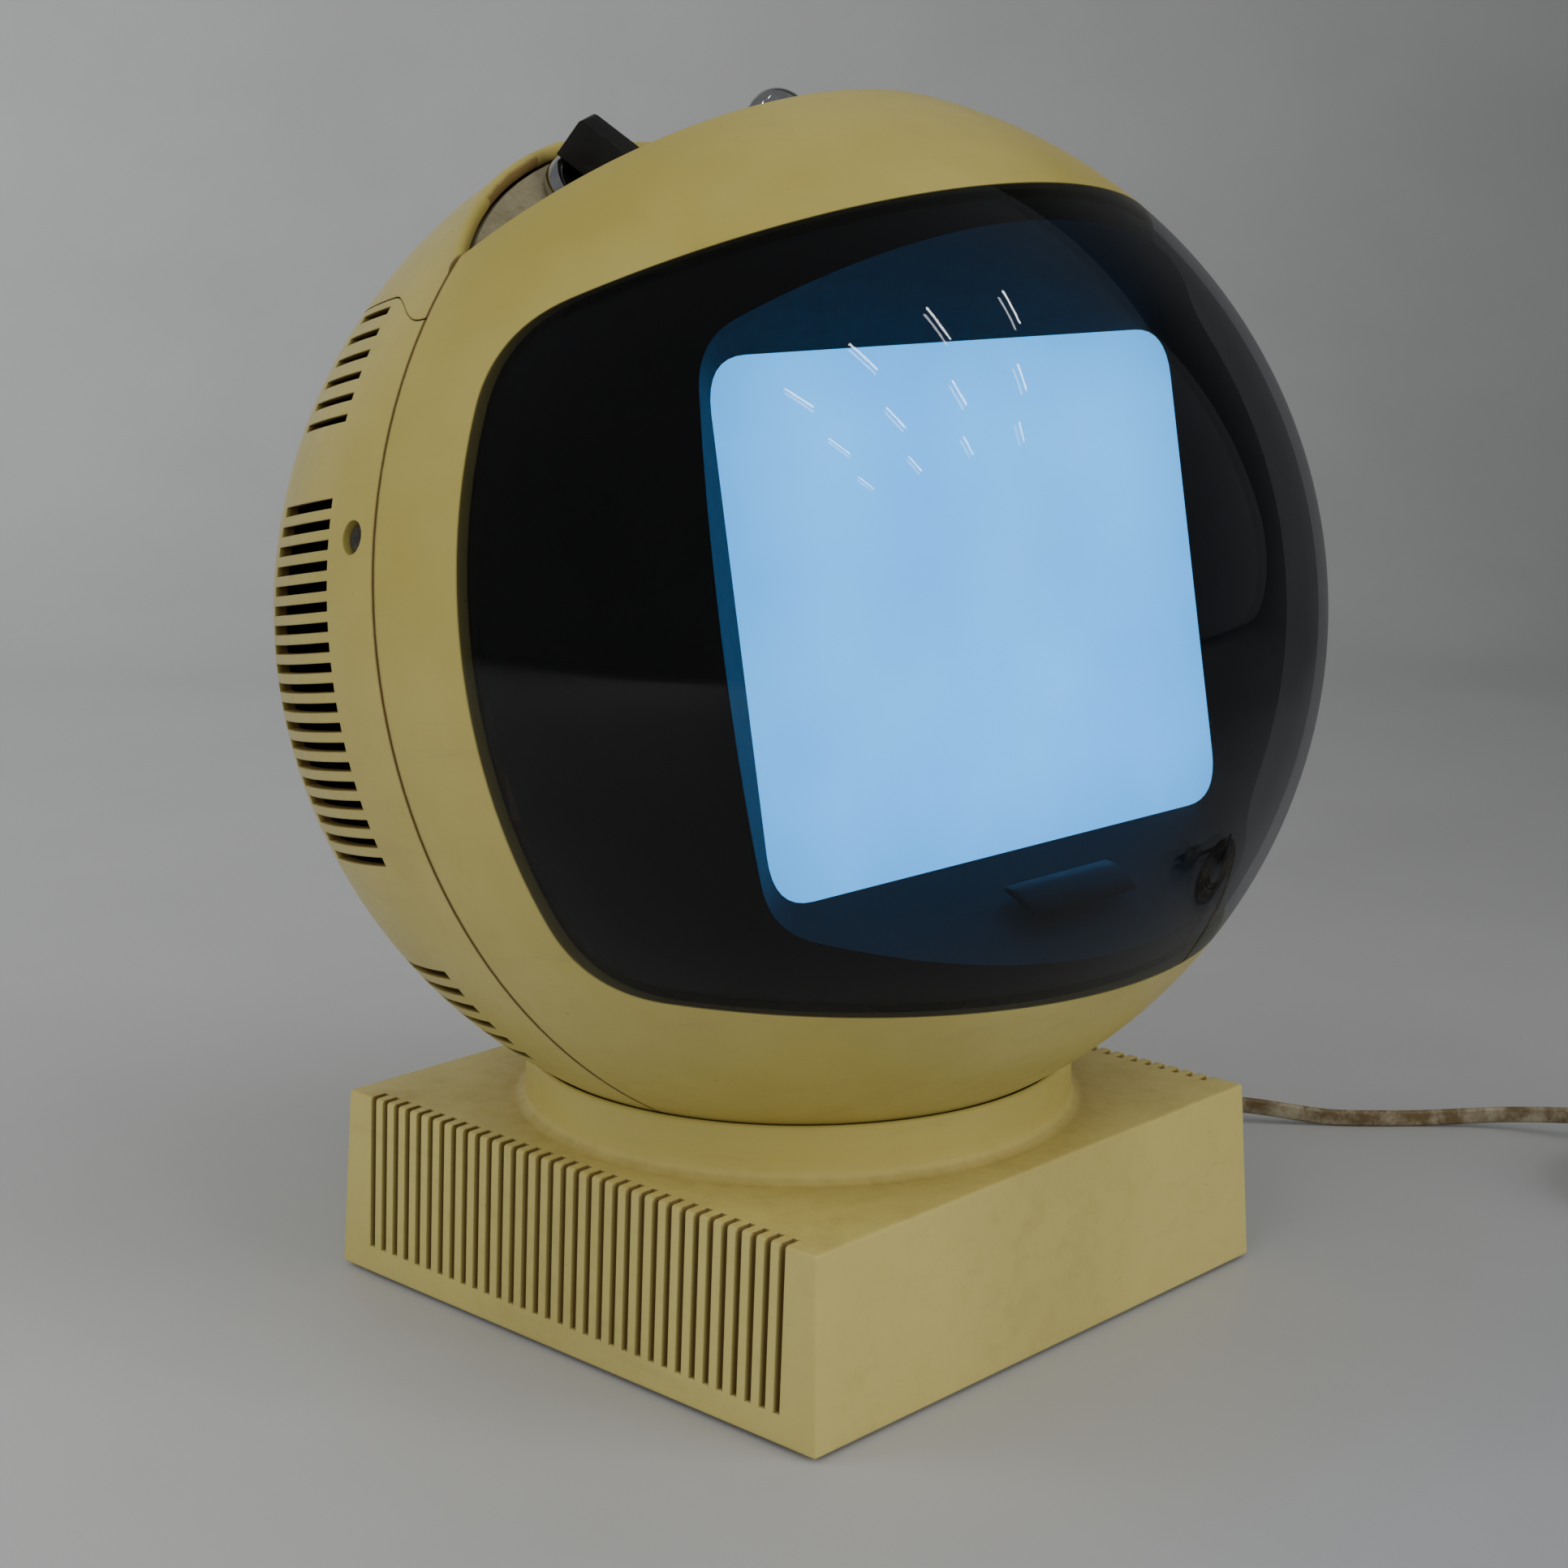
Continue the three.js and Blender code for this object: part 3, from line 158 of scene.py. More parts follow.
def prism(outline, axis, low, high):
    """A closed outline carried along an axis from low to high."""
    order = {
        "X": lambda a, b, t: (t, a, b),
        "Y": lambda a, b, t: (b, t, a),
        "Z": lambda a, b, t: (a, b, t),
    }
    verts = [order[axis](a, b, t) for t in (low, high) for a, b in outline]
    return verts, tube_faces(len(outline))


def rounded(points, radius, steps=8):
    """Rounds the corners of a closed outline; a third number is a corner's own radius."""
    outline = []
    for i, point in enumerate(points):
        here = Vector(point[:2])
        before = Vector(points[i - 1][:2]) - here
        after = Vector(points[(i + 1) % len(points)][:2]) - here
        reach = point[2] if len(point) > 2 else radius
        start = here + before.normalized() * reach
        end = here + after.normalized() * reach
        for k in range(steps + 1):
            t = k / steps
            outline.append(tuple((1 - t) ** 2 * start + 2 * t * (1 - t) * here + t * t * end))
    return outline


def circle(radius, count, x=0, z=0):
    """Points round a circle, counter-clockwise."""
    angles = [2 * math.pi * i / count for i in range(count)]
    return [(x + radius * math.cos(a), z + radius * math.sin(a)) for a in angles]


def flared(y0, y1, half0, half1, corner):
    """A rounded rectangle in X-Z that runs along Y and opens from one size to another."""
    w, h = half0
    outline = rounded([(-w, -h), (w, -h), (w, h), (-w, h)], corner)
    verts = []
    for y, half in ((y0, half0), (y1, half1)):
        verts += [(x * half[0] / w, y, z * half[1] / h) for x, z in outline]
    return verts, tube_faces(len(outline))


def placed(shape, matrix):
    verts, faces = shape
    return [tuple(matrix @ Vector(v)) for v in verts], faces


def aim(direction, place):
    """Turns +Z to point along a direction from a place."""
    return Matrix.Translation(place) @ Vector(direction).to_track_quat("Z", "Y").to_matrix().to_4x4()


def aimed(shape, direction, place=(0, 0, 0)):
    return placed(shape, aim(direction, place))


def moved(shape, x, y, z):
    return placed(shape, Matrix.Translation((x, y, z)))


def together(shapes):
    verts = []
    faces = []
    for some_verts, some_faces in shapes:
        start = len(verts)
        verts += some_verts
        faces += [[start + i for i in face] for face in some_faces]
    return verts, faces


def rod(radius, z0, z1, segments=32):
    return lathe([(0, z0), (radius, z0), (radius, z1), (0, z1)], segments)


# ---------- objects
def solid(*shapes):
    """A mesh object, in millimetres, with its faces turned outwards."""
    verts, faces = together(shapes)
    mesh = bpy.data.meshes.new("piece")
    mesh.from_pydata(verts, [], faces)
    work = bmesh.new()
    work.from_mesh(mesh)
    bmesh.ops.recalc_face_normals(work, faces=work.faces)
    work.to_mesh(mesh)
    work.free()
    return new_object("piece", mesh)


def apply_modifiers(obj):
    depsgraph = bpy.context.evaluated_depsgraph_get()
    result = bpy.data.meshes.new_from_object(obj.evaluated_get(depsgraph))
    old = obj.data
    obj.modifiers.clear()
    obj.data = result
    bpy.data.meshes.remove(old)
    return obj


def boolean(obj, operation, *shapes):
    tool = solid(*shapes)
    modifier = obj.modifiers.new("boolean", "BOOLEAN")
    modifier.operation = operation
    modifier.solver = "EXACT"
    modifier.object = tool
    apply_modifiers(obj)
    bpy.data.objects.remove(tool, do_unlink=True)
    return obj


def cut(obj, *shapes):
    return boolean(obj, "DIFFERENCE", *shapes)


def keep(obj, *shapes):
    return boolean(obj, "INTERSECT", *shapes)


def join(obj, *shapes):
    return boolean(obj, "UNION", *shapes)


def shape_of(obj):
    """Takes an object apart into a shape again, and removes it."""
    verts = [tuple(vertex.co) for vertex in obj.data.vertices]
    faces = [list(polygon.vertices) for polygon in obj.data.polygons]
    bpy.data.objects.remove(obj, do_unlink=True)
    return verts, faces


def bevelled(obj, width, segments=3, angle=35):
    modifier = obj.modifiers.new("bevel", "BEVEL")
    modifier.width = width
    modifier.segments = segments
    modifier.limit_method = "ANGLE"
    modifier.angle_limit = math.radians(angle)
    return apply_modifiers(obj)


def round_normals(mesh, radii):
    """Gives the faces that lie on the ball the exact normals of a sphere."""
    centre = Vector((0, 0, BALL_Z * MM))
    normals = [Vector((0, 0, 0))] * len(mesh.loops)
    for polygon in mesh.polygons:
        for loop in polygon.loop_indices:
            arm = mesh.vertices[mesh.loops[loop].vertex_index].co - centre
            reach = arm.length
            on_ball = any(abs(reach - r * MM) < 0.00004 for r in radii)
            facing = polygon.normal.dot(arm) / reach
            if on_ball and abs(facing) > 0.97:
                normals[loop] = arm.normalized() * (1 if facing > 0 else -1)
    mesh.normals_split_custom_set(normals)


def make(obj, name, body, finish, *replaces, slot=None, matrix=None, radii=(), sharp=35):
    """Finishes a piece: metres, row frame, shading, material, body and CAD nodes.

    The slot argument is not used. A piece of the ball is built
    upright round the ball's centre, and HEAD turns it; the matrix is for other places.
    """
    slot = slot or finish
    if matrix is None:
        matrix = HEAD if body == "ball" else HERE
    obj.name = name
    obj.data.name = name
    obj.data.transform(Matrix.Scale(MM, 4) @ matrix)
    obj.data.materials.clear()
    obj.data.materials.append(MATERIALS[finish])
    for polygon in obj.data.polygons:
        polygon.use_smooth = True
    obj.data.set_sharp_from_angle(angle=math.radians(sharp))
    if radii:
        round_normals(obj.data, radii)
    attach(obj, body)
    if replaces:
        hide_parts(*replaces)
    return obj


# ---------- material helpers
MIX_COLOURS = (6, 7)  # the two colour inputs of a mix node
MIX_RESULT = 2  # its colour output


class Nodes:
    """A small wrapper that makes and links shader nodes."""

    def __init__(self, name):
        self.material = bpy.data.materials.new(name)
        self.material.use_nodes = True
        self.tree = self.material.node_tree
        self.shader = self.tree.nodes["Principled BSDF"]

    def add(self, kind, settings=None, **inputs):
        node = self.tree.nodes.new(kind)
        for key, value in (settings or {}).items():
            setattr(node, key, value)
        for key, value in inputs.items():
            self.put(node.inputs[key.replace("_", " ")], value)
        return node

    def put(self, target, value):
        if isinstance(value, bpy.types.NodeSocket):
            self.tree.links.new(value, target)
        else:
            target.default_value = value

    def math(self, operation, a, b=0.0, clamp=False):
        node = self.add("ShaderNodeMath", {"operation": operation, "use_clamp": clamp})
        self.put(node.inputs[0], a)
        self.put(node.inputs[1], b)
        return node.outputs[0]

    def plus(self, a, b, clamp=False):
        return self.math("ADD", a, b, clamp)

    def times(self, a, b):
        return self.math("MULTIPLY", a, b)

    def split(self, vector):
        return self.add("ShaderNodeSeparateXYZ", Vector=vector).outputs

    def length(self, vector):
        node = self.add("ShaderNodeVectorMath", {"operation": "LENGTH"}, Vector=vector)
        return node.outputs["Value"]

    def coords(self, head=False):
        """Millimetres in the row frame, or in the ball's own frame."""
        source = self.add("ShaderNodeTexCoord").outputs["Object"]
        units = (MM, MM, MM)
        mapping = self.add("ShaderNodeMapping", {"vector_type": "TEXTURE"}, Vector=source, Scale=units)
        if head:
            mapping.inputs["Location"].default_value = (0, 0, BALL_Z * MM)
            mapping.inputs["Rotation"].default_value = HEAD_TURN
        return mapping.outputs[0]

    def noise(self, vector, scale, detail=4.0, roughness=0.6):
        node = self.add("ShaderNodeTexNoise", Vector=vector, Scale=scale, Detail=detail, Roughness=roughness)
        return node.outputs["Fac"]

    def stretched(self, vector, scale):
        return self.add("ShaderNodeMapping", Vector=vector, Scale=scale).outputs[0]

    def ramp(self, value, low, high, to_low=0.0, to_high=1.0):
        limits = {"From_Min": low, "From_Max": high, "To_Min": to_low, "To_Max": to_high}
        return self.add("ShaderNodeMapRange", Value=value, **limits).outputs[0]

    def mix(self, amount, first, second, blend="MIX"):
        node = self.add("ShaderNodeMix", {"data_type": "RGBA", "blend_type": blend})
        self.put(node.inputs[0], amount)
        for socket, colour in zip(MIX_COLOURS, (first, second)):
            self.put(node.inputs[socket], (*colour, 1) if isinstance(colour, tuple) else colour)
        return node.outputs[MIX_RESULT]

    def bump(self, height, distance, strength=1.0, normal=None):
        node = self.add("ShaderNodeBump", Height=height, Distance=distance, Strength=strength)
        if normal:
            self.put(node.inputs["Normal"], normal)
        return node.outputs[0]

    def surface(self, **values):
        for key, value in values.items():
            if isinstance(value, tuple):
                value = (*value, 1)
            self.put(self.shader.inputs[key.replace("_", " ")], value)
        return self.material


def plain_finish(name, colour, second, scale, rough=(0.3, 0.5), bump=0.02, metallic=0.0, **extra):
    """A finish whose colour, roughness and relief all vary a little, at a scale per mm."""
    n = Nodes(name)
    where = n.coords()
    broad = n.noise(where, scale)
    fine = n.noise(where, scale * 9, 6)
    colour_mix = n.mix(n.ramp(broad, 0.35, 0.65), colour, second)
    shade = n.mix(n.ramp(fine, 0.55, 0.8, 0, 0.35), colour_mix, tuple(c * 0.45 for c in colour))
    roughness = n.ramp(fine, 0.3, 0.7, *rough)
    normal = n.bump(fine, bump * MM)
    return n.surface(Base_Color=shade, Roughness=roughness, Metallic=metallic, Normal=normal, **extra)


CREAM = (0.60, 0.51, 0.165)
# The older cream is also the colour that painted shade on the ball and the collar darkens towards.
CREAM_AGED_AND_SHADED = (0.42, 0.34, 0.075)
# Dirt colour, also used for painted shade in the slots and along the seam.
DIRT_AND_SHADE = (0.21, 0.125, 0.042)


def cream_plastic(name, head, pale, recess):
    """Aged cream moulding: yellowed, mottled, scuffed, with brown dirt and painted shade in its recesses,
    and painted light and shade over the ball and on the collar.
    """
    n = Nodes(name)
    where = n.coords(head)
    y, z = n.split(where)[1:]
    broad = n.noise(where, 0.011, 3)
    age_and_shade = n.ramp(broad, 0.36, 0.66)
    if head:
        # Painted light and shade, with some age all over: the front half is a little darker than the rear,
        # and the ball is lighter towards the bottom and darker higher up.
        age_and_front_shade = n.ramp(y, SEAM_Y + 0.1, SEAM_Y - 0.1, 0.25, 0.4)
        high = n.plus(n.ramp(z, -110, 20, -0.35, 0.2), age_and_front_shade)
        age_and_shade = n.plus(n.times(age_and_shade, 0.55), high, True)
    else:
        # The collar is darker from yellowing and from a painted shadow of the ball.
        collar_age_and_shadow = n.ramp(z, BASE_TOP_Z + 2, BASE_TOP_Z + 6, 0, 0.45)
        age_and_shade = n.plus(n.times(age_and_shade, 0.15), collar_age_and_shadow, True)
    fresh = tuple(c * (1.05 if pale else 1.0) for c in CREAM)
    colour = n.mix(age_and_shade, fresh, CREAM_AGED_AND_SHADED)
    mottle = n.noise(where, 0.16, 6, 0.7)
    colour = n.mix(n.ramp(mottle, 0.5, 0.75, 0, 0.22), colour, CREAM_AGED_AND_SHADED)
    smear = n.noise(n.stretched(where, (0.3, 0.05, 0.9)), 0.2, 5, 0.7)
    colour = n.mix(n.ramp(smear, 0.56, 0.8, 0, 0.25), colour, (0.33, 0.24, 0.10))
    specks = n.add("ShaderNodeTexVoronoi", Vector=where, Scale=0.12).outputs["Distance"]
    spread = n.noise(where, 0.03, 2)
    spot = n.times(n.ramp(specks, 0.05, 0.02), n.ramp(spread, 0.52, 0.6))
    colour = n.mix(n.times(spot, 0.7), colour, DIRT_AND_SHADE)
    # Dirt and painted shade in the recesses and along the seam.
    dirt_and_shade = recess(n, where, mottle)
    colour = n.mix(dirt_and_shade, colour, DIRT_AND_SHADE)
    scratches = n.noise(n.stretched(where, (0.4, 0.04, 0.5)), 1.4, 4, 0.8)
    roughness = n.plus(n.ramp(mottle, 0.3, 0.7, 0.28, 0.38), n.ramp(scratches, 0.55, 0.8, 0, 0.2))
    roughness = n.plus(roughness, n.times(dirt_and_shade, 0.4), True)
    soft_edge = n.add("ShaderNodeBevel", {"samples": 4}, Radius=0.6 * MM).outputs[0]
    grain = n.bump(n.noise(where, 1.6, 3), 0.02 * MM, 0.6, soft_edge)
    return n.surface(Base_Color=colour, Roughness=roughness, Normal=grain, Specular_IOR_Level=0.38)


def ball_recess(n, where, mottle):
    """Dirt and painted shade in the cooling slots, a little in the well, and along the seam."""
    x, y = n.split(where)[:2]
    radius = n.length(where)
    uneven = n.plus(radius, n.ramp(mottle, 0.3, 0.7, -0.3, 0.3))
    # Dust and painted shade: darker deeper below the surface, fully in the side slots and a little
    # elsewhere, such as in the well.
    deep = n.ramp(uneven, BALL_R - 0.4, BALL_R - 1.4, 0, 0.9)
    beside = n.math("GREATER_THAN", n.math("ABSOLUTE", x), 50)
    in_slots = n.times(n.math("GREATER_THAN", y, 15), beside)
    deep = n.times(deep, n.ramp(in_slots, 0, 1, 0.15, 1))
    # Dirt and painted shade: a dark line along the seam.
    seam_dirt_and_shade = n.ramp(n.math("ABSOLUTE", n.math("SUBTRACT", y, SEAM_Y)), 1.1, 0.3, 0, 0.9)
    return n.math("MAXIMUM", deep, n.times(seam_dirt_and_shade, n.ramp(mottle, 0.2, 0.45, 0.45, 1)))


def base_recess(n, where, mottle):
    """Dirt and painted shade inside the grille's slots, and dirt on the top around the collar."""
    x, y, z = n.split(where)
    draft = (BASE_HALF_LOW - BASE_HALF_HIGH) / (BASE_TOP_Z - BASE_BOTTOM_Z)
    wall = n.math("SUBTRACT", BASE_HALF_LOW, n.times(n.math("SUBTRACT", z, BASE_BOTTOM_Z), draft))
    inset = n.math("SUBTRACT", wall, n.math("ABSOLUTE", x))
    below_top = n.math("LESS_THAN", z, BASE_TOP_Z - 0.15)
    in_grille = n.math("LESS_THAN", n.math("ABSOLUTE", y), 79.6)
    # Dust and painted shade: darker deeper inside the grille's slots.
    deep = n.times(n.ramp(inset, 0.3, 1.3, 0, 0.85), below_top)
    deep = n.times(deep, in_grille)
    radius = n.length(n.stretched(where, (1, 1, 0)))
    foot = n.times(n.ramp(radius, 100, 77, 0, 0.5), n.ramp(radius, 75, 77))
    low = n.ramp(z, 58, 53)
    dust = n.times(n.times(foot, low), n.ramp(mottle, 0.3, 0.8, 0.55, 1))
    on_top = n.math("GREATER_THAN", z, BASE_TOP_Z - 0.3)
    film = n.times(on_top, n.ramp(n.noise(where, 0.05, 6, 0.75), 0.44, 0.72, 0.04, 0.28))
    film = n.times(film, n.ramp(z, 55, 53))
    return n.math("MAXIMUM", n.math("MAXIMUM", deep, dust), film)


def smoked_acrylic():
    """Tinted clear sheet, darker where it is seen at a slant, with fine wiping marks."""
    n = Nodes("smoked_acrylic")
    where = n.coords(True)
    wipes = n.noise(n.stretched(where, (0.05, 0.3, 0.25)), 0.7, 5, 0.75)
    dust = n.noise(where, 0.9, 6, 0.8)
    roughness = n.ramp(wipes, 0.4, 0.8, 0.012, 0.022)
    tint = n.mix(n.ramp(n.noise(where, 0.02, 2), 0.3, 0.7), (0.60, 0.61, 0.63), (0.64, 0.65, 0.67))
    gloss = n.add("ShaderNodeBsdfGlossy", Roughness=roughness, Color=(1, 1, 1, 1))
    facing = n.add("ShaderNodeLayerWeight", Blend=0.5).outputs["Facing"]
    tint = n.mix(n.ramp(facing, 0.45, 0.95), tint, (0.43, 0.44, 0.465))
    see = n.add("ShaderNodeBsdfTransparent", Color=tint)
    fresnel = n.plus(n.times(n.math("POWER", facing, 3.0), 0.32), 0.016)
    film = n.ramp(dust, 0.5, 0.9, 0.0, 0.006)
    clear = n.add("ShaderNodeMixShader", Fac=n.plus(fresnel, film, True))
    n.tree.links.new(see.outputs[0], clear.inputs[1])
    n.tree.links.new(gloss.outputs[0], clear.inputs[2])
    n.tree.links.new(clear.outputs[0], n.tree.nodes["Material Output"].inputs["Surface"])
    n.surface(Base_Color=(0.10, 0.11, 0.13), Roughness=0.05, Alpha=0.45)
    return n.material


def screen_glow():
    """The lit face of the picture tube: pale blue, a little uneven, with faint lines."""
    n = Nodes("screen_glow")
    where = n.coords(True)
    x, _, z = n.split(where)
    cloud = n.noise(where, 0.012, 3)
    colour = n.mix(n.ramp(cloud, 0.35, 0.65), (0.03, 0.385, 0.97), (0.05, 0.43, 1.0))
    lines = n.math("SINE", n.times(z, 2 * math.pi / 0.55))
    across = n.ramp(n.math("ABSOLUTE", x), 60, 92, 1, 0.8)
    upwards = n.ramp(n.math("ABSOLUTE", z), 45, 70, 1, 0.8)
    edge = n.times(across, upwards)
    power = n.times(n.ramp(lines, -1, 1, 4.8, 5.1), edge)
    smear = n.noise(n.stretched(where, (0.4, 0.4, 0.1)), 0.5, 5)
    return n.surface(
        Base_Color=(0.30, 0.34, 0.38),
        Roughness=n.ramp(smear, 0.3, 0.7, 0.04, 0.12),
        Emission_Color=colour,
        Emission_Strength=power,
    )


def control_face():
    """Grimy beige-grey moulded panel."""
    n = Nodes("panel_plastic")
    where = n.coords(True)
    broad = n.noise(where, 0.05, 5, 0.7)
    fine = n.noise(where, 0.6, 6, 0.75)
    colour = n.mix(n.ramp(broad, 0.35, 0.65), (0.36, 0.32, 0.20), (0.25, 0.21, 0.12))
    colour = n.mix(n.ramp(fine, 0.5, 0.75, 0, 0.6), colour, (0.12, 0.085, 0.04))
    return n.surface(
        Base_Color=colour,
        Roughness=n.ramp(fine, 0.3, 0.7, 0.4, 0.7),
        Normal=n.bump(fine, 0.06 * MM),
    )


def cord_jacket():
    """Aged brown flex with beige blotches where the skin has worn."""
    n = Nodes("cord_jacket")
    where = n.coords()
    blotch = n.noise(where, 0.09, 5, 0.7)
    fine = n.noise(where, 0.7, 5, 0.7)
    colour = n.mix(n.ramp(blotch, 0.42, 0.62), (0.15, 0.105, 0.045), (0.38, 0.33, 0.22))
    colour = n.mix(n.ramp(fine, 0.5, 0.8, 0, 0.5), colour, (0.09, 0.06, 0.03))
    return n.surface(
        Base_Color=colour,
        Roughness=n.ramp(fine, 0.3, 0.7, 0.35, 0.6),
        Normal=n.bump(fine, 0.05 * MM),
    )


def circuit_board():
    """Brown bonded paper with printed copper tracks."""
    n = Nodes("circuit_board")
    where = n.coords(True)
    tracks = n.add("ShaderNodeTexBrick", Vector=where, Scale=0.06).outputs["Fac"]
    weave = n.noise(where, 1.2, 5)
    colour = n.mix(n.ramp(weave, 0.3, 0.7), (0.26, 0.15, 0.05), (0.34, 0.21, 0.08))
    colour = n.mix(n.times(tracks, 0.7), colour, (0.42, 0.24, 0.10))
    return n.surface(
        Base_Color=colour,
        Roughness=n.ramp(weave, 0.3, 0.7, 0.4, 0.6),
        Normal=n.bump(tracks, 0.05 * MM),
    )


def wound_copper():
    """Enamelled wire in close layers."""
    n = Nodes("copper")
    where = n.coords()
    z = n.split(where)[2]
    turns = n.math("SINE", n.times(z, 2 * math.pi / 0.6))
    stain = n.noise(where, 0.2, 4)
    colour = n.mix(n.ramp(stain, 0.3, 0.7), (0.42, 0.16, 0.05), (0.55, 0.24, 0.08))
    return n.surface(
        Base_Color=colour,
        Metallic=0.8,
        Roughness=n.ramp(stain, 0.3, 0.7, 0.25, 0.5),
        Normal=n.bump(turns, 0.12 * MM),
    )


MATERIALS = {
    "ball_cream": cream_plastic("ball_cream", True, False, ball_recess),
    "base_cream": cream_plastic("base_cream", False, True, base_recess),
    "panel_plastic": control_face(),
    "black_plastic": plain_finish(
        "black_plastic", (0.010, 0.010, 0.009), (0.018, 0.017, 0.015), 0.08, (0.3, 0.5),
        Specular_IOR_Level=0.25,
    ),
    "mask_plastic": plain_finish(
        "mask_plastic", (0.0055, 0.0045, 0.004), (0.009, 0.0075, 0.0065), 0.05, (0.5, 0.6), 0.002,
        Specular_IOR_Level=0.12,
    ),
    "smoked_acrylic": smoked_acrylic(),
    "screen_glow": screen_glow(),
    "tube_glass": plain_finish("tube_glass", (0.02, 0.02, 0.022), (0.045, 0.045, 0.05), 0.04, (0.1, 0.35)),
    "chrome": plain_finish("chrome", (0.60, 0.60, 0.60), (0.42, 0.41, 0.39), 0.1, (0.03, 0.1), 0.004, 1.0),
    "steel": plain_finish("steel", (0.40, 0.40, 0.39), (0.52, 0.52, 0.50), 0.05, (0.28, 0.5), 0.02, 1.0),
    "old_steel": plain_finish(
        "old_steel", (0.10, 0.09, 0.075), (0.17, 0.155, 0.13), 0.3, (0.35, 0.55), 0.02, 0.9
    ),
    "copper": wound_copper(),
    "circuit_board": circuit_board(),
    "rubber": plain_finish("rubber", (0.012, 0.012, 0.012), (0.03, 0.029, 0.027), 0.12, (0.6, 0.85), 0.05),
    "nylon": plain_finish("nylon", (0.68, 0.65, 0.55), (0.58, 0.54, 0.43), 0.08, (0.4, 0.55)),
    "felt": plain_finish(
        "felt", (0.035, 0.035, 0.033), (0.06, 0.058, 0.05), 0.4, (0.9, 1.0), 0.3, Sheen_Weight=0.4
    ),
    "cord_jacket": cord_jacket(),
    "card": plain_finish("card", (0.03, 0.026, 0.022), (0.06, 0.05, 0.04), 0.25, (0.7, 0.9), 0.1),
}


# ---------- mains lead
CORD_WIDTH = 5.2
CORD_LOBE = 1.35
CORD_LENGTH = 1800
RELIEF_PLACE = (18, 90.35, 15)
RELIEF_LENGTH = 32
CORD_ROUTE = [
    (18, 122.6, 15), (18.3, 130, 14.3), (21, 139, 12.3), (27, 147, 9.9),
    (36.5, 152.5, 7.5), (48, 154, 5.6), (60, 151, 4.2), (72, 144, 3.3),
    (85, 133, 2.8), (99, 117.5, 2.7), (113, 98, 2.7), (127, 75, 2.8),
    (141, 51, 3.2), (156, 26, 4.2), (171, 1, 5.6), (186.8, -24.5, 6),
    (203, -44.6, 2.9), (213.7, -57, 2.7), (224, -67.4, 2.7), (239.2, -87.7, 4.9),
    (246.2, -107.3, 7.6), (253.5, -125, 8.8),
]
COIL_CENTRE = (232, -166)
COIL_OUT = 37.4  # radius of the coil's outer turns
COIL_PITCH = 5.2
COIL_ENTRY = (math.radians(51.8), 42.4)  # angle and radius where the lead meets the coil
COIL_TURNS = 7 + 121.8 / 360
COIL_ROWS = (8.85, 3.65)
COIL_INNER_R = 17
COIL_OUTER_R = 40
PLUG_HEADING = math.radians(-160)
PLUG_PLACE = (202, -216.1, 7)
TAIL_STEPS = 12
PLUG = Matrix.Translation(PLUG_PLACE) @ Matrix.Rotation(PLUG_HEADING, 4, "Z")
BLADE_Y = 6.35


def coil_points(out_radius):
    """Two layers: the upper one winds inwards, the lower one outwards."""
    points = []
    steps = round(COIL_TURNS * 36)
    start, entry_radius = COIL_ENTRY
    for i in range(steps + 1):
        turned = COIL_TURNS * i / steps
        wound = min(turned, COIL_TURNS - turned)
        blend = (entry_radius - out_radius) * math.exp(-turned * 2 * math.pi / 0.32)
        radius = out_radius - COIL_PITCH * wound + blend
        angle = start - turned * 2 * math.pi
        drop = max(-1, min(1, (turned - COIL_TURNS / 2) / 0.36))
        share = 0.5 + 0.25 * drop * (3 - drop * drop)
        z = COIL_ROWS[0] + share * (COIL_ROWS[1] - COIL_ROWS[0])
        x = COIL_CENTRE[0] + radius * math.cos(angle)
        y = COIL_CENTRE[1] + radius * math.sin(angle)
        points.append((x, y, z))
    return points


def tail_points(last):
    """From the coil's outer turn to the plug, rising to the plug's own height."""
    start = Vector(last)
    end = Vector(PLUG_PLACE)
    lean = Vector((math.cos(PLUG_HEADING), math.sin(PLUG_HEADING), 0)) * (end - start).length / 3
    points = []
    for i in range(1, TAIL_STEPS + 1):
        t = i / TAIL_STEPS
        s = 1 - t
        spot = s ** 3 * start + 3 * s * s * t * (start + lean) + 3 * s * t * t * (end - lean) + t ** 3 * end
        points.append(tuple(spot))
    return points


def smooth_line(points, steps=6):
    """A centripetal Catmull-Rom curve through points."""
    line = []
    ends = [2 * Vector(points[0]) - Vector(points[1]), 2 * Vector(points[-1]) - Vector(points[-2])]
    spots = [ends[0], *[Vector(p) for p in points], ends[1]]
    for a, b, c, d in zip(spots, spots[1:], spots[2:], spots[3:]):
        t0 = 0.0
        t1 = t0 + (b - a).length ** 0.5
        t2 = t1 + (c - b).length ** 0.5
        t3 = t2 + (d - c).length ** 0.5
        for i in range(steps):
            t = t1 + (t2 - t1) * i / steps
            ab = a.lerp(b, (t - t0) / (t1 - t0))
            bc = b.lerp(c, (t - t1) / (t2 - t1))
            cd = c.lerp(d, (t - t2) / (t3 - t2))
            abc = ab.lerp(bc, (t - t0) / (t2 - t0))
            bcd = bc.lerp(cd, (t - t1) / (t3 - t1))
            line.append(abc.lerp(bcd, (t - t1) / (t2 - t1)))
    return line + [spots[-2]]


def line_length(line):
    return sum((b - a).length for a, b in zip(line, line[1:]))


def cord_line():
    """The whole lead; the coil's size is set so that it holds all of the spare length."""
    lead = smooth_line(CORD_ROUTE)
    radius = COIL_OUT
    for _ in range(12):
        coil = coil_points(radius)
        rest = [Vector(p) for p in coil + tail_points(coil[-1])]
        missing = CORD_LENGTH - line_length(lead + rest)
        radius += missing / (2 * math.pi * COIL_TURNS)
    return lead + rest


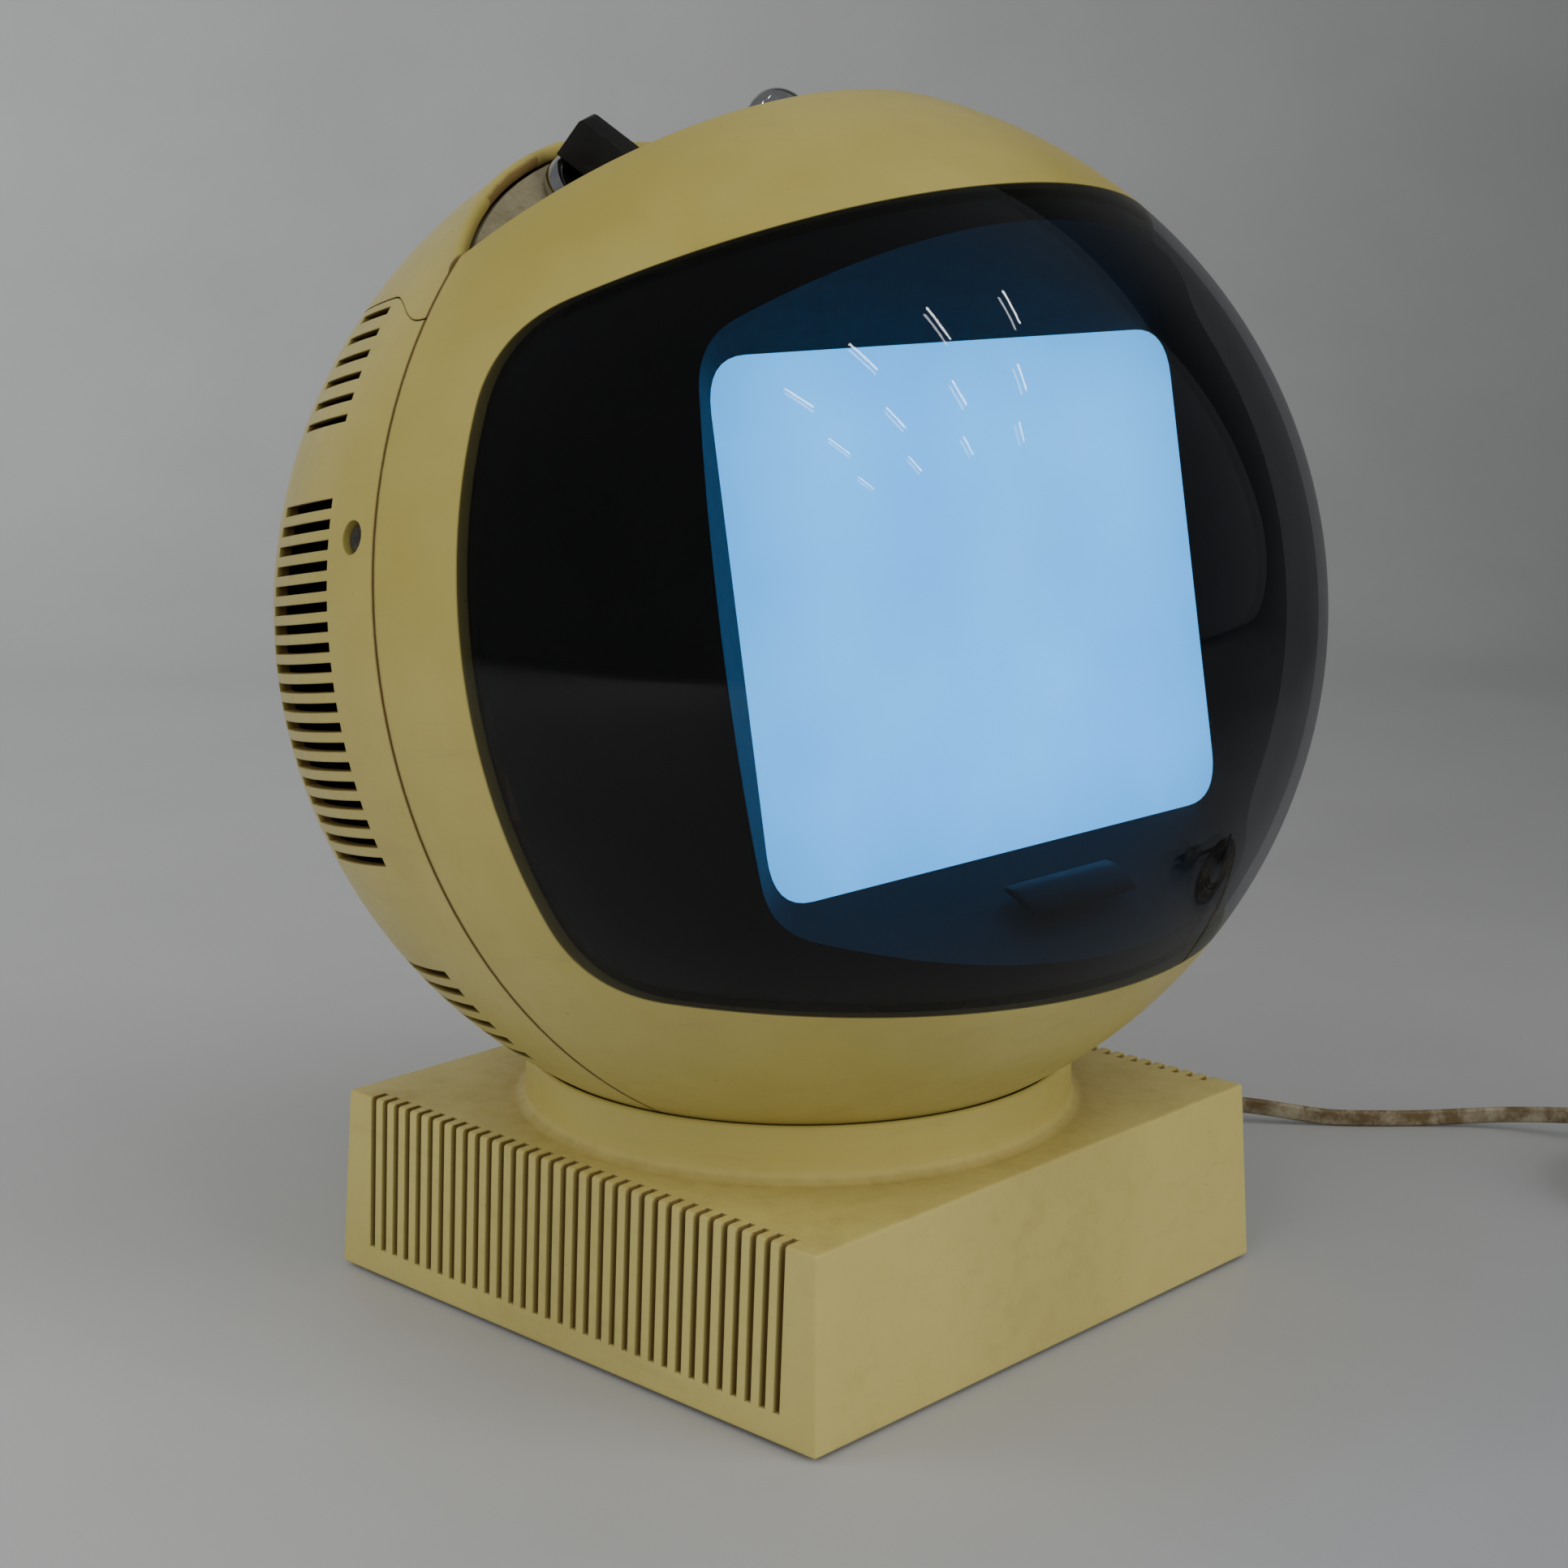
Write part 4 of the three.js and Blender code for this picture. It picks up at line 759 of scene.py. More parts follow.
def add_cord():
    line = cord_line()
    section = []
    for i in range(20):
        angle = 2 * math.pi * i / 20
        lobe = 1 if math.sin(angle) > 0 else -1
        apart = (CORD_WIDTH / 2 - CORD_LOBE) * min(1, abs(math.sin(angle)) * 3)
        z = lobe * apart + CORD_LOBE * math.sin(angle)
        waist = 0.72 + 0.28 * min(1, abs(z) / 1.1)
        section.append((CORD_LOBE * math.cos(angle) * waist, z))
    verts = []
    faces = []
    count = len(section)
    for k, point in enumerate(line):
        ahead = line[min(k + 1, len(line) - 1)] - line[max(k - 1, 0)]
        ahead.normalize()
        side = ahead.cross(Vector((0, 0, 1))).normalized()
        up = side.cross(ahead)
        verts += [tuple(point + side * a + up * b) for a, b in section]
        if k:
            for i in range(count):
                j = (i + 1) % count
                faces.append([(k - 1) * count + i, (k - 1) * count + j, k * count + j, k * count + i])
    faces.append(list(range(count))[::-1])
    faces.append([len(verts) - count + i for i in range(count)])
    lead = solid((verts, faces))
    make(lead, "mains_lead", "base", "cord_jacket", "power_cord", "cord_coil", sharp=60)
    return lead, [tuple(p * MM) for p in line]


def add_strain_relief():
    """Tapered grommet with flexing grooves."""
    profile = [(0, -9), (6.5, -9), (6.5, -6.6), (4.2, -3.4), (4.2, 0.4), (6, 0.6), (6, 2.6), (5.6, 3.1)]
    for i in range(6):
        z = 4.5 + 4.4 * i
        r = 4.7 - 1.3 * (z - 4.5) / 27
        profile += [(r, z), (r, z + 2.4), (r - 0.9, z + 2.9), (r - 0.9, z + 3.9)]
    profile += [(3.3, RELIEF_LENGTH - 0.6), (2.9, RELIEF_LENGTH), (0, RELIEF_LENGTH)]
    shape = aimed(lathe(profile, 40), (0, 1, 0), RELIEF_PLACE)
    return make(solid(shape), "lead_grommet", "base", "rubber", "cord_strain_relief")


def add_plug():
    outline = rounded([(0, -5), (8, -9.5), (27, -11), (27, 11), (8, 9.5), (0, 5)], 2.5)
    body = bevelled(solid(prism(outline, "Z", -6.6, 6.6)), 1.8, 4)
    grips = []
    for i in range(5):
        for face in (-6.6, 6.6):
            grips.append(box(9 + 3 * i, 10.2 + 3 * i, -12, 12, face - 0.5, face + 0.5))
    blades = [box(20, 30, y - 1, y + 1, -3.5, 3.5) for y in (-BLADE_Y, BLADE_Y)]
    cut(body, *grips, *blades)
    pieces = [make(body, "plug", "base", "cord_jacket", "plug_body", matrix=PLUG)]
    for name, y in (("left", -BLADE_Y), ("right", BLADE_Y)):
        blade = bevelled(solid(box(21, 44, y - 0.75, y + 0.75, -3.2, 3.2)), 0.3, 2)
        cut(blade, moved(placed(rod(1.4, -3, 3, 20), Matrix.Rotation(math.pi / 2, 4, "X")), 40, y, 0))
        pieces.append(make(blade, f"blade_{name}", "base", "steel", f"plug_blade_{name}", matrix=PLUG))
    return pieces


def add_tie():
    """A flat strap round the coil's section."""
    strap = solid(box(COIL_INNER_R - 1.4, COIL_OUTER_R + 1.4, -3, 3, 0.1, 12.6))
    bevelled(strap, 0.6)
    cut(strap, box(COIL_INNER_R - 0.7, COIL_OUTER_R + 0.7, -4, 4, 0.8, 11.9))
    turn = Matrix.Rotation(math.radians(-35), 4, "Z")
    strap.data.transform(Matrix.Translation((*COIL_CENTRE, 0)) @ turn)
    return make(strap, "lead_tie", "base", "rubber", "coil_tie", slot="black_plastic")


def add_mains_lead():
    lead, path = add_cord()
    on_lead = [add_strain_relief(), *add_plug(), add_tie()]


add_mains_lead()


# ---------- base
GRILLE_SLOTS = 33
GRILLE_PITCH = 4.86
GRILLE_SLOT = 2.1
GRILLE_FLOOR_Z = 8.9
GRILLE_INNER_X = 83.6
CORNERS = [(-1, -1), (1, -1), (1, 1), (-1, 1)]
COLLAR_INNER_R = 73.2
BASE_SCREW_AT = 78.5
INNER_POST_AT = 64
FOOT_AT = 62


def frustum(half_low, half_high, z0, z1):
    verts = [(i * half_low, j * half_low, z0) for i, j in CORNERS]
    verts += [(i * half_high, j * half_high, z1) for i, j in CORNERS]
    return verts, tube_faces(4)


def collar_profile():
    """Flared foot, straight wall and a rounded lip that follows the ball."""
    clear = BALL_R + 0.7
    foot_z = BASE_TOP_Z - 2.9
    profile = [(COLLAR_INNER_R, foot_z), (79.5, foot_z), (79.5, BASE_TOP_Z + 0.02)]
    for i in range(9):
        angle = math.pi / 2 * i / 8
        profile.append((79.3 - 3.2 * math.sin(angle), BASE_TOP_Z + 3.2 - 3.2 * math.cos(angle) + 0.02))
    for i in range(7):
        angle = math.pi / 2 * i / 6
        profile.append((74.6 + 1.2 * math.cos(angle), 65.6 + 1.2 * math.sin(angle)))
    for r in (74.55, 74.2, 73.7, COLLAR_INNER_R):
        profile.append((r, BALL_Z - math.sqrt(clear * clear - r * r)))
    return profile


def add_base_housing():
    block = frustum(BASE_HALF_LOW, BASE_HALF_HIGH, BASE_BOTTOM_Z, BASE_TOP_Z)
    housing = bevelled(solid(block), 0.9, 4)
    inner_low = BASE_HALF_LOW - BASE_WALL
    inner_high = BASE_HALF_HIGH - BASE_WALL
    cut(housing, frustum(inner_low, inner_high, BASE_BOTTOM_Z - 1, BASE_TOP_Z - BASE_WALL))
    cut(housing, rod(COLLAR_INNER_R, 40, 70, 128))
    join(housing, lathe(collar_profile(), 128))
    slots = []
    for i in range(GRILLE_SLOTS):
        y = (i - (GRILLE_SLOTS - 1) / 2) * GRILLE_PITCH
        for x0, x1 in ((-100, -GRILLE_INNER_X), (GRILLE_INNER_X, 100)):
            slots.append(box(x0, x1, y - GRILLE_SLOT / 2, y + GRILLE_SLOT / 2, GRILLE_FLOOR_Z, 60))
    cut(housing, *slots)
    cut(housing, aimed(rod(4.5, 0, 20), (0, 1, 0), (18, 80, 15)))
    posts = []
    holes = []
    for i, j in CORNERS:
        posts.append(moved(rod(4.5, 36.3, BASE_TOP_Z - 2), INNER_POST_AT * i, INNER_POST_AT * j, 0))
        posts.append(moved(rod(4.2, 3.6, BASE_TOP_Z - 2), BASE_SCREW_AT * i, BASE_SCREW_AT * j, 0))
        holes.append(moved(rod(1.6, 0, 16, 16), BASE_SCREW_AT * i, BASE_SCREW_AT * j, 0))
    join(housing, *posts)
    cut(housing, *holes)
    make(housing, "base_moulding", "base", "base_cream", "base_housing", slot="cream_plastic")


def add_feet():
    profile = [
        (0, 0.5), (5, 0.5), (5.6, 0), (7.6, 0), (8.6, 0.4), (9, 1.2),
        (9, 3.6), (11, 3.6), (11, 5.2), (0, 5.2),
    ]
    for name, (i, j) in zip(("front_left", "front_right", "rear_right", "rear_left"), CORNERS):
        foot = solid(moved(lathe(profile, 40), FOOT_AT * i, FOOT_AT * j, 0))
        make(foot, f"rubber_foot_{name}", "base", "rubber", f"foot_{name}")


# ---------- ball
VISOR_SIDE_Y = -27.6
VISOR_CORNER = 17
TILT_SLOT = box(-8, 8, -40, 66, -150, -100)
COVER_Z = 92


def slope_z(y):
    """Height of the well's front wall."""
    return WELL_FLOOR[1] - WELL_SLOPE * (y - WELL_FLOOR[0])


def panel_z(y):
    """Height of the plane that the rear lip lies in."""
    return WELL_FLOOR[1] + (y - WELL_FLOOR[0]) / math.tan(PANEL_ANGLE)


def visor_top(y):
    return 68.8 - 0.3 * y


def visor_bottom(y):
    return -72.1 + 0.27 * y


def visor_shape(grow):
    """All that lies in front of the visor's four edges, moved outwards by grow."""
    side = VISOR_SIDE_Y + grow
    front = -160
    outline = [
        (side, visor_bottom(side) - grow, VISOR_CORNER),
        (front, visor_bottom(front) - grow, 1),
        (front, visor_top(front) + grow, 1),
        (side, visor_top(side) + grow, VISOR_CORNER),
    ]
    return prism(rounded(outline, VISOR_CORNER, 14), "X", -150, 150)


def well_shape(drop=0):
    """The V-shaped well; drop lets the rear plane down to leave room for a rolled lip."""
    y0, z0 = WELL_FLOOR
    lower = drop / math.sin(PANEL_ANGLE)
    outline = [
        (y0, z0),
        (-100, slope_z(-100)),
        (-100, 240),
        (90, 240),
        (90, panel_z(90) + lower),
        (y0, panel_z(y0) + lower),
    ]
    return prism(outline, "X", -160, 160)


def shell_half(y0, y1):
    half = keep(solid(sphere(BALL_R, 160)), box(-200, 200, y0, y1, -200, 200))
    return cut(half, sphere(SHELL_R, 96))


def make_moulding(obj, name, node):
    make(obj, name, "ball", "ball_cream", node, slot="cream_plastic", radii=(BALL_R, SHELL_R))


EYE_PLACE = (0, -14.9, 124.9)
EYE_RING_R = 10
EYE_WIRE_R = 3
EYE_COLLAR_Z = EYE_PLACE[2] - EYE_RING_R - EYE_WIRE_R + 0.2


def add_hanging_eye():
    """A thick chromed ring on a collared shank, in the middle of the well."""
    wire = circle(EYE_WIRE_R, 32, EYE_RING_R)
    eye = solid(aimed(lathe(wire, 96), (0, 1, 0), (0, 0, EYE_PLACE[2])))
    low = EYE_COLLAR_Z
    shank = [
        (0, 93), (2.4, 93), (3, 93.6), (3, low), (5, low), (5.5, low + 0.5), (5.5, low + 1.4),
        (4.9, low + 2), (3.6, low + 2.4), (3.1, low + 4), (0, low + 4),
    ]
    join(eye, lathe(shank, 48))
    join(eye, lathe([(0, 94.7), (5.5, 94.7), (5.5, 98.7), (0, 98.7)], 6))
    eye.data.transform(Matrix.Translation((0, EYE_PLACE[1], 0)))
    make(eye, "top_ring", "ball", "chrome", "hanging_eye")


def add_front_shell():
    shell = shell_half(-200, SEAM_Y - SEAM_GAP)
    cut(shell, well_shape())
    wall = 2.6 * math.hypot(1, WELL_SLOPE)
    back = SEAM_Y - 0.4
    slab = [
        (back, slope_z(back)),
        (back, slope_z(back) - wall),
        (-100, slope_z(-100) - wall),
        (-100, slope_z(-100)),
    ]
    closing = keep(solid(prism(slab, "X", -160, 160)), sphere(SHELL_R + 1, 160))
    join(shell, shape_of(closing))
    boss_top = EYE_COLLAR_Z - 0.3
    boss = lathe([(0, 99), (8, 99), (8, boss_top - 0.7), (7.3, boss_top), (0, boss_top)], 48)
    join(shell, moved(boss, 0, EYE_PLACE[1], 0))
    cut(shell, visor_shape(0.2))
    cut(shell, TILT_SLOT)
    cut(shell, moved(rod(3.3, 80, 130), 0, EYE_PLACE[1], 0))
    make_moulding(shell, "front_moulding", "front_shell")


LIP_BEAD = 2
LIP_PROUD = 0.6
LANDING_Z = 131.8
LANDING = 3
LANDING_R = math.sqrt(BALL_R ** 2 - LANDING_Z ** 2)


def cover_outline(shift):
    z = COVER_Z + shift
    bend = [(SEAM_Y - 3, z - 8)]
    for i in range(13):
        t = i / 12
        bend.append((SEAM_Y + 3 + 20 * t, z - 8 + 8 * t * t * (3 - 2 * t)))
    return prism(bend + [(160, z), (160, 200), (SEAM_Y - 3, 200)], "X", -160, 160)


def rolled_lip():
    """A round bead along the cover's front edge, on the ball's outline."""
    plane = PANEL_DISTANCE + PANEL_SUNK - LIP_BEAD
    reach = math.sqrt((BALL_R + LIP_PROUD - LIP_BEAD) ** 2 - plane ** 2)
    return aimed(lathe(circle(LIP_BEAD, 24, reach, plane), 200), PANEL_NORMAL)


def landing():
    """The flat step between the selectors, where the lip dips."""
    rim = LANDING_R - 1
    profile = [(0, LANDING_Z - LANDING), (rim, LANDING_Z - LANDING), (rim, LANDING_Z), (0, LANDING_Z)]
    return shape_of(cut(solid(lathe(profile, 160)), well_shape(), box(-80, 80, -80, 10, 0, 200)))


def add_rear_top_cover():
    cover = shell_half(SEAM_Y + SEAM_GAP, 200)
    keep(cover, cover_outline(0.2))
    cut(cover, well_shape(-LIP_BEAD))
    join(cover, rolled_lip())
    keep(cover, cover_outline(0.2))
    keep(cover, box(-200, 200, SEAM_Y + SEAM_GAP, 200, -200, LANDING_Z))
    join(cover, landing())
    make_moulding(cover, "top_cover", "rear_top_cover")


SLOT_GROUPS = [
    {"top": 89, "count": 6, "pitch": 5.1, "front": 24, "rear": (45, 57), "half": 0.9},
    {"top": 43.1, "count": 19, "pitch": 4.91, "front": 22.5, "rear": (60, 76), "half": 1.2},
    {"top": -77, "count": 6, "pitch": 5.1, "front": 25, "rear": (57, 46), "half": 1.2},
]
SCREW_PLACE = (135.4, 10.9, 34.2)
JACK_PLACE = (34, -44)


def vent_slots():
    slots = []
    for group in SLOT_GROUPS:
        last = group["count"] - 1
        first_rear, other_rear = group["rear"]
        for i in range(group["count"]):
            z = group["top"] - i * group["pitch"]
            share = i / last
            if last > 10:
                share = 1 - abs(2 * share - 1)
            rear = first_rear + (other_rear - first_rear) * share
            inner = math.sqrt(SHELL_R ** 2 - z * z - rear * rear) - 6
            for x0, x1 in ((-160, -inner), (inner, 160)):
                slots.append(box(x0, x1, group["front"], rear, z - group["half"], z + group["half"]))
    return slots


def add_rear_shell():
    shell = shell_half(SEAM_Y + SEAM_GAP, 200)
    hubs = []
    wells = []
    for side in (-1, 1):
        place = (side * SCREW_PLACE[0], *SCREW_PLACE[1:])
        hubs.append(aimed(rod(5.6, -16, -1), place, place))
        wells.append(aimed(rod(4.2, -12, 8), place, place))
    join(shell, *hubs)
    keep(shell, box(-200, 200, SEAM_Y + SEAM_GAP, 200, -200, 200))
    cut(shell, cover_outline(-0.2))
    cut(shell, TILT_SLOT)
    cut(shell, *wells)
    cut(shell, aimed(rod(3.2, -20, 20), (0, 1, 0), (JACK_PLACE[0], 110, JACK_PLACE[1])))
    cut(shell, box(-17.3, 17.3, 110, 150, -51.3, -36.7))
    cut(shell, *vent_slots())
    make_moulding(shell, "rear_moulding", "rear_shell")


def add_side_screws():
    profile = [
        (0, -8.5), (1.4, -8), (1.4, -3.6), (3.7, -3.6), (3.7, -2.5), (3.1, -1.5), (1.6, -0.9), (0, -0.8),
    ]
    for name, side in (("left", -1), ("right", 1)):
        place = (side * SCREW_PLACE[0], *SCREW_PLACE[1:])
        screw = solid(lathe(profile, 32))
        cut(screw, box(-2.6, 2.6, -0.45, 0.45, -2.2, -0.5), box(-0.45, 0.45, -2.6, 2.6, -2.2, -0.5))
        screw.data.transform(aim(place, place))
        make(screw, f"cross_screw_{name}", "ball", "old_steel", f"side_screw_{name}", slot="steel")


# ---------- visor, mask and screen
SCREEN_Y = -66.5
SCREEN_EDGE_Y = -66.15
SCREEN_BOW = 4.5
SCREEN_HALF = (92, 71)
SCREEN_GRID = (48, 36)
VISOR_THICK = 2.5
BEZEL_HALF = (85.5, 64.4)
BEZEL_FLARE = (1.287, 0.717)
MASK_R = 135.1
MASK_INNER_R = MASK_R - 2


def add_visor():
    visor = keep(solid(sphere(BALL_R, 192)), visor_shape(-0.1))
    cut(visor, sphere(BALL_R - VISOR_THICK, 128))
    keep(visor, box(-200, 200, -200, VISOR_SIDE_Y, -200, 200))
    radii = (BALL_R, BALL_R - VISOR_THICK)
    make(visor, "smoked_visor", "ball", "smoked_acrylic", "visor", radii=radii)


def funnel(margin, depth=80):
    half = [h + margin for h in BEZEL_HALF]
    front = [h + slope * depth for h, slope in zip(half, BEZEL_FLARE)]
    return flared(SCREEN_Y, SCREEN_Y - depth, half, front, 13)


def add_mask():
    mask = solid(sphere(MASK_R, 128))
    cut(mask, sphere(MASK_INNER_R, 96))
    keep(mask, visor_shape(-1.2))
    keep(mask, box(-200, 200, -200, VISOR_SIDE_Y - 1, -200, 200))
    walls = keep(keep(solid(funnel(2.2)), sphere(MASK_R - 0.2, 96)), visor_shape(-1.2))
    join(mask, shape_of(walls))
    narrow = [h - 0.5 * s for h, s in zip(BEZEL_HALF, BEZEL_FLARE)]
    wide = [h + 81 * s for h, s in zip(BEZEL_HALF, BEZEL_FLARE)]
    cut(mask, flared(SCREEN_Y + 1, SCREEN_Y - 81, narrow, wide, 13))
    radii = (MASK_R, MASK_INNER_R)
    make(mask, "black_mask", "ball", "mask_plastic", "screen_mask", radii=radii, sharp=9)


def add_name_block():
    """A blank raised block on the lower wall of the mask."""
    y = -84
    z = -(BEZEL_HALF[1] + BEZEL_FLARE[1] * (SCREEN_Y - y)) + 0.5
    outline = [(y - 5, z - 2), (y + 5, z + 5.2), (y + 4.2, z + 6), (y + 0.6, z + 4.8), (y - 5, z - 0.6)]
    block = bevelled(solid(prism(outline, "X", -20, 20)), 0.5, 3)
    make(block, "blank_name_block", "ball", "mask_plastic", "name_block", slot="black_plastic")


def add_screen_face():
    """The bowed, lit face that fills the mask's opening, in front of the tube's panel."""
    half_x, half_z = SCREEN_HALF
    cols, rows = SCREEN_GRID
    verts = []
    faces = []
    for j in range(rows + 1):
        for i in range(cols + 1):
            x = half_x * (2 * i / cols - 1)
            z = half_z * (2 * j / rows - 1)
            bow = max(0, 1 - (x / BEZEL_HALF[0]) ** 2) * max(0, 1 - (z / BEZEL_HALF[1]) ** 2)
            verts.append((x, SCREEN_EDGE_Y - SCREEN_BOW * bow, z))
    for j in range(rows):
        for i in range(cols):
            a = j * (cols + 1) + i
            faces.append([a, a + 1, a + cols + 2, a + cols + 1])
    face = solid((verts, faces))
    modifier = face.modifiers.new("thickness", "SOLIDIFY")
    modifier.thickness = 0.1
    modifier.offset = -1
    apply_modifiers(face)
    make(face, "screen_face", "ball", "screen_glow", slot="screen_glass", sharp=60)


# ---------- controls
SELECTOR_X = 39.2
SELECTOR_UP = 95.2
SELECTOR_R = 17.2
SMALL_UP = 95
SMALL_KNOBS = {"contrast": -13.5, "volume": 0, "brightness": 13.5}


def from_panel(x, up):
    spot = PANEL_NORMAL * PANEL_DISTANCE
    return (x, spot.y + up * math.sin(PANEL_ANGLE), spot.z + up * math.cos(PANEL_ANGLE))


def add_control_panel():
    """Flat sunk plate with a hole for each shaft."""
    sunk = PANEL_SUNK / math.sin(PANEL_ANGLE)
    thick = 2 / math.sin(PANEL_ANGLE)
    y0 = SEAM_Y + 0.6
    outline = [
        (y0, panel_z(y0) - sunk),
        (y0, panel_z(y0) - sunk - thick),
        (60, panel_z(60) - sunk - thick),
        (60, panel_z(60) - sunk),
    ]
    plate = keep(solid(prism(outline, "X", -150, 150)), sphere(SHELL_R - 0.9, 128))
    keep(plate, box(-150, 150, 0, 100, 0, LANDING_Z - LANDING - 0.3))
    shafts = [(4.3, x, SELECTOR_UP) for x in (-SELECTOR_X, SELECTOR_X)]
    shafts += [(2.6, x, SMALL_UP) for x in SMALL_KNOBS.values()]
    cut(plate, *[aimed(rod(r, -10, 10), PANEL_NORMAL, from_panel(x, up)) for r, x, up in shafts])
    make(plate, "control_plate", "ball", "panel_plastic", "control_panel")


def skirt_profile():
    r = SELECTOR_R
    return [
        (0, 0.6), (r - 1.6, 0.6), (r - 0.8, 0.8), (r - 0.2, 1.5), (r, 2.6), (r - 0.05, 3.8), (r - 0.4, 5),
        (r - 1.1, 5.9), (r - 1.9, 6.35), (r - 2.7, 6.3), (r - 3.2, 5.9), (r - 3.6, 5.65), (0, 5.6),
    ]


def add_selector(name, side, angle):
    x = side * SELECTOR_X
    spot = Matrix.Translation((x, SELECTOR_UP, 0))
    shaft = rod(3.9, -7.5, 3, 32)
    skirt = join(solid(lathe(skirt_profile(), 96)), shaft)
    body = f"{name}_selector"
    make(skirt, f"{name}_skirt_ring", body, "chrome", f"{name}_skirt", matrix=PANEL @ spot)
    r = SELECTOR_R - 0.6
    outline = rounded([(-r, 6.7, 0.4), (r, 6.7, 0.4), (r - 1.5, 19.3, 1.6), (-r + 1.5, 19.3, 1.6)], 1.6, 6)
    verts, faces = prism(outline, "Z", -3.6, 3.6)
    bar = solid(([(a, -t, b) for a, b, t in verts], faces))
    bevelled(bar, 0.5, 3)
    turned = PANEL @ spot @ Matrix.Rotation(angle, 4, "Z")
    make(bar, f"{name}_handle", body, "black_plastic", f"{name}_bar", matrix=turned)


def add_small_knobs():
    profile = [
        (0, -7.5), (2.2, -7.5), (2.2, 0.8), (5.1, 0.8), (5.5, 1.2),
        (5.5, 6.6), (5.1, 7.5), (4.4, 8), (0, 7.7),
    ]
    for name, x in SMALL_KNOBS.items():
        knob = solid(lathe(profile, 48))
        flutes = [moved(rod(0.35, 1.6, 9, 8), a, b, 0) for a, b in circle(5.6, 18)]
        cut(knob, *flutes, box(-0.3, 0.3, 1.5, 6, 7.2, 9))
        spot = Matrix.Translation((x, SMALL_UP, 0))
        make(knob, f"{name}_button", name, "black_plastic", f"{name}_knob", matrix=PANEL @ spot)


# ---------- rear fittings
AERIAL_Z = -44


def add_rear_fittings():
    """The aerial block with its four screws, and the earphone socket."""
    face = math.sqrt(BALL_R ** 2 - AERIAL_Z ** 2) - 4
    plate = bevelled(solid(box(-17, 17, face - 8, face, -51, -37)), 0.5, 3)
    for x in (-10.5, -3.5, 3.5, 10.5):
        join(plate, aimed(rod(2.2, -1, 2.6, 24), (0, 1, 0), (x, face, AERIAL_Z)))
        cut(plate, box(x - 2.5, x + 2.5, face + 1.9, face + 4, AERIAL_Z - 0.3, AERIAL_Z + 0.3))
    make(plate, "aerial_block", "ball", "black_plastic", "aerial_terminals")
    mouth = math.sqrt(SHELL_R ** 2 - JACK_PLACE[0] ** 2 - JACK_PLACE[1] ** 2) - 1
    profile = [
        (0, -16), (5.5, -16), (5.5, -4), (2.9, -4), (2.9, 1.6),
        (2.6, 2), (2, 2), (1.8, 1.7), (1.8, -12), (0, -12),
    ]
    jack = solid(aimed(lathe(profile, 32), (0, 1, 0), (JACK_PLACE[0], mouth, JACK_PLACE[1])))
    make(jack, "earphone_socket", "ball", "black_plastic", "earphone_jack")


# ---------- carried-over CAD nodes
NODE_MATERIALS = {
    "black_plastic": ["bottom_plate", "tube_socket"],
    "steel": [
        "pivot_plate", "transformer_core", "saddle_dish", "pivot_bolt", "clamp_cup", "clamp_spring",
        "pivot_nut", "tube_band", "chassis_rail_left", "chassis_rail_right", "speaker_frame",
        "vhf_tuner", "uhf_tuner",
        "base_screw_front_left", "base_screw_front_right", "base_screw_rear_right", "base_screw_rear_left",
    ],
    "nylon": ["thrust_washer"],
    "copper": ["transformer_winding", "deflection_yoke"],
    "circuit_board": ["power_board", "main_board", "control_board"],
    "felt": ["felt_ring"],
    "tube_glass": ["picture_tube"],
    "card": ["flyback_transformer", "speaker_cone"],
}


def dress_cad_nodes():
    for material, nodes in NODE_MATERIALS.items():
        for node in nodes:
            obj = bpy.data.objects[node]
            for slot in obj.material_slots:
                slot.material = MATERIALS[material]


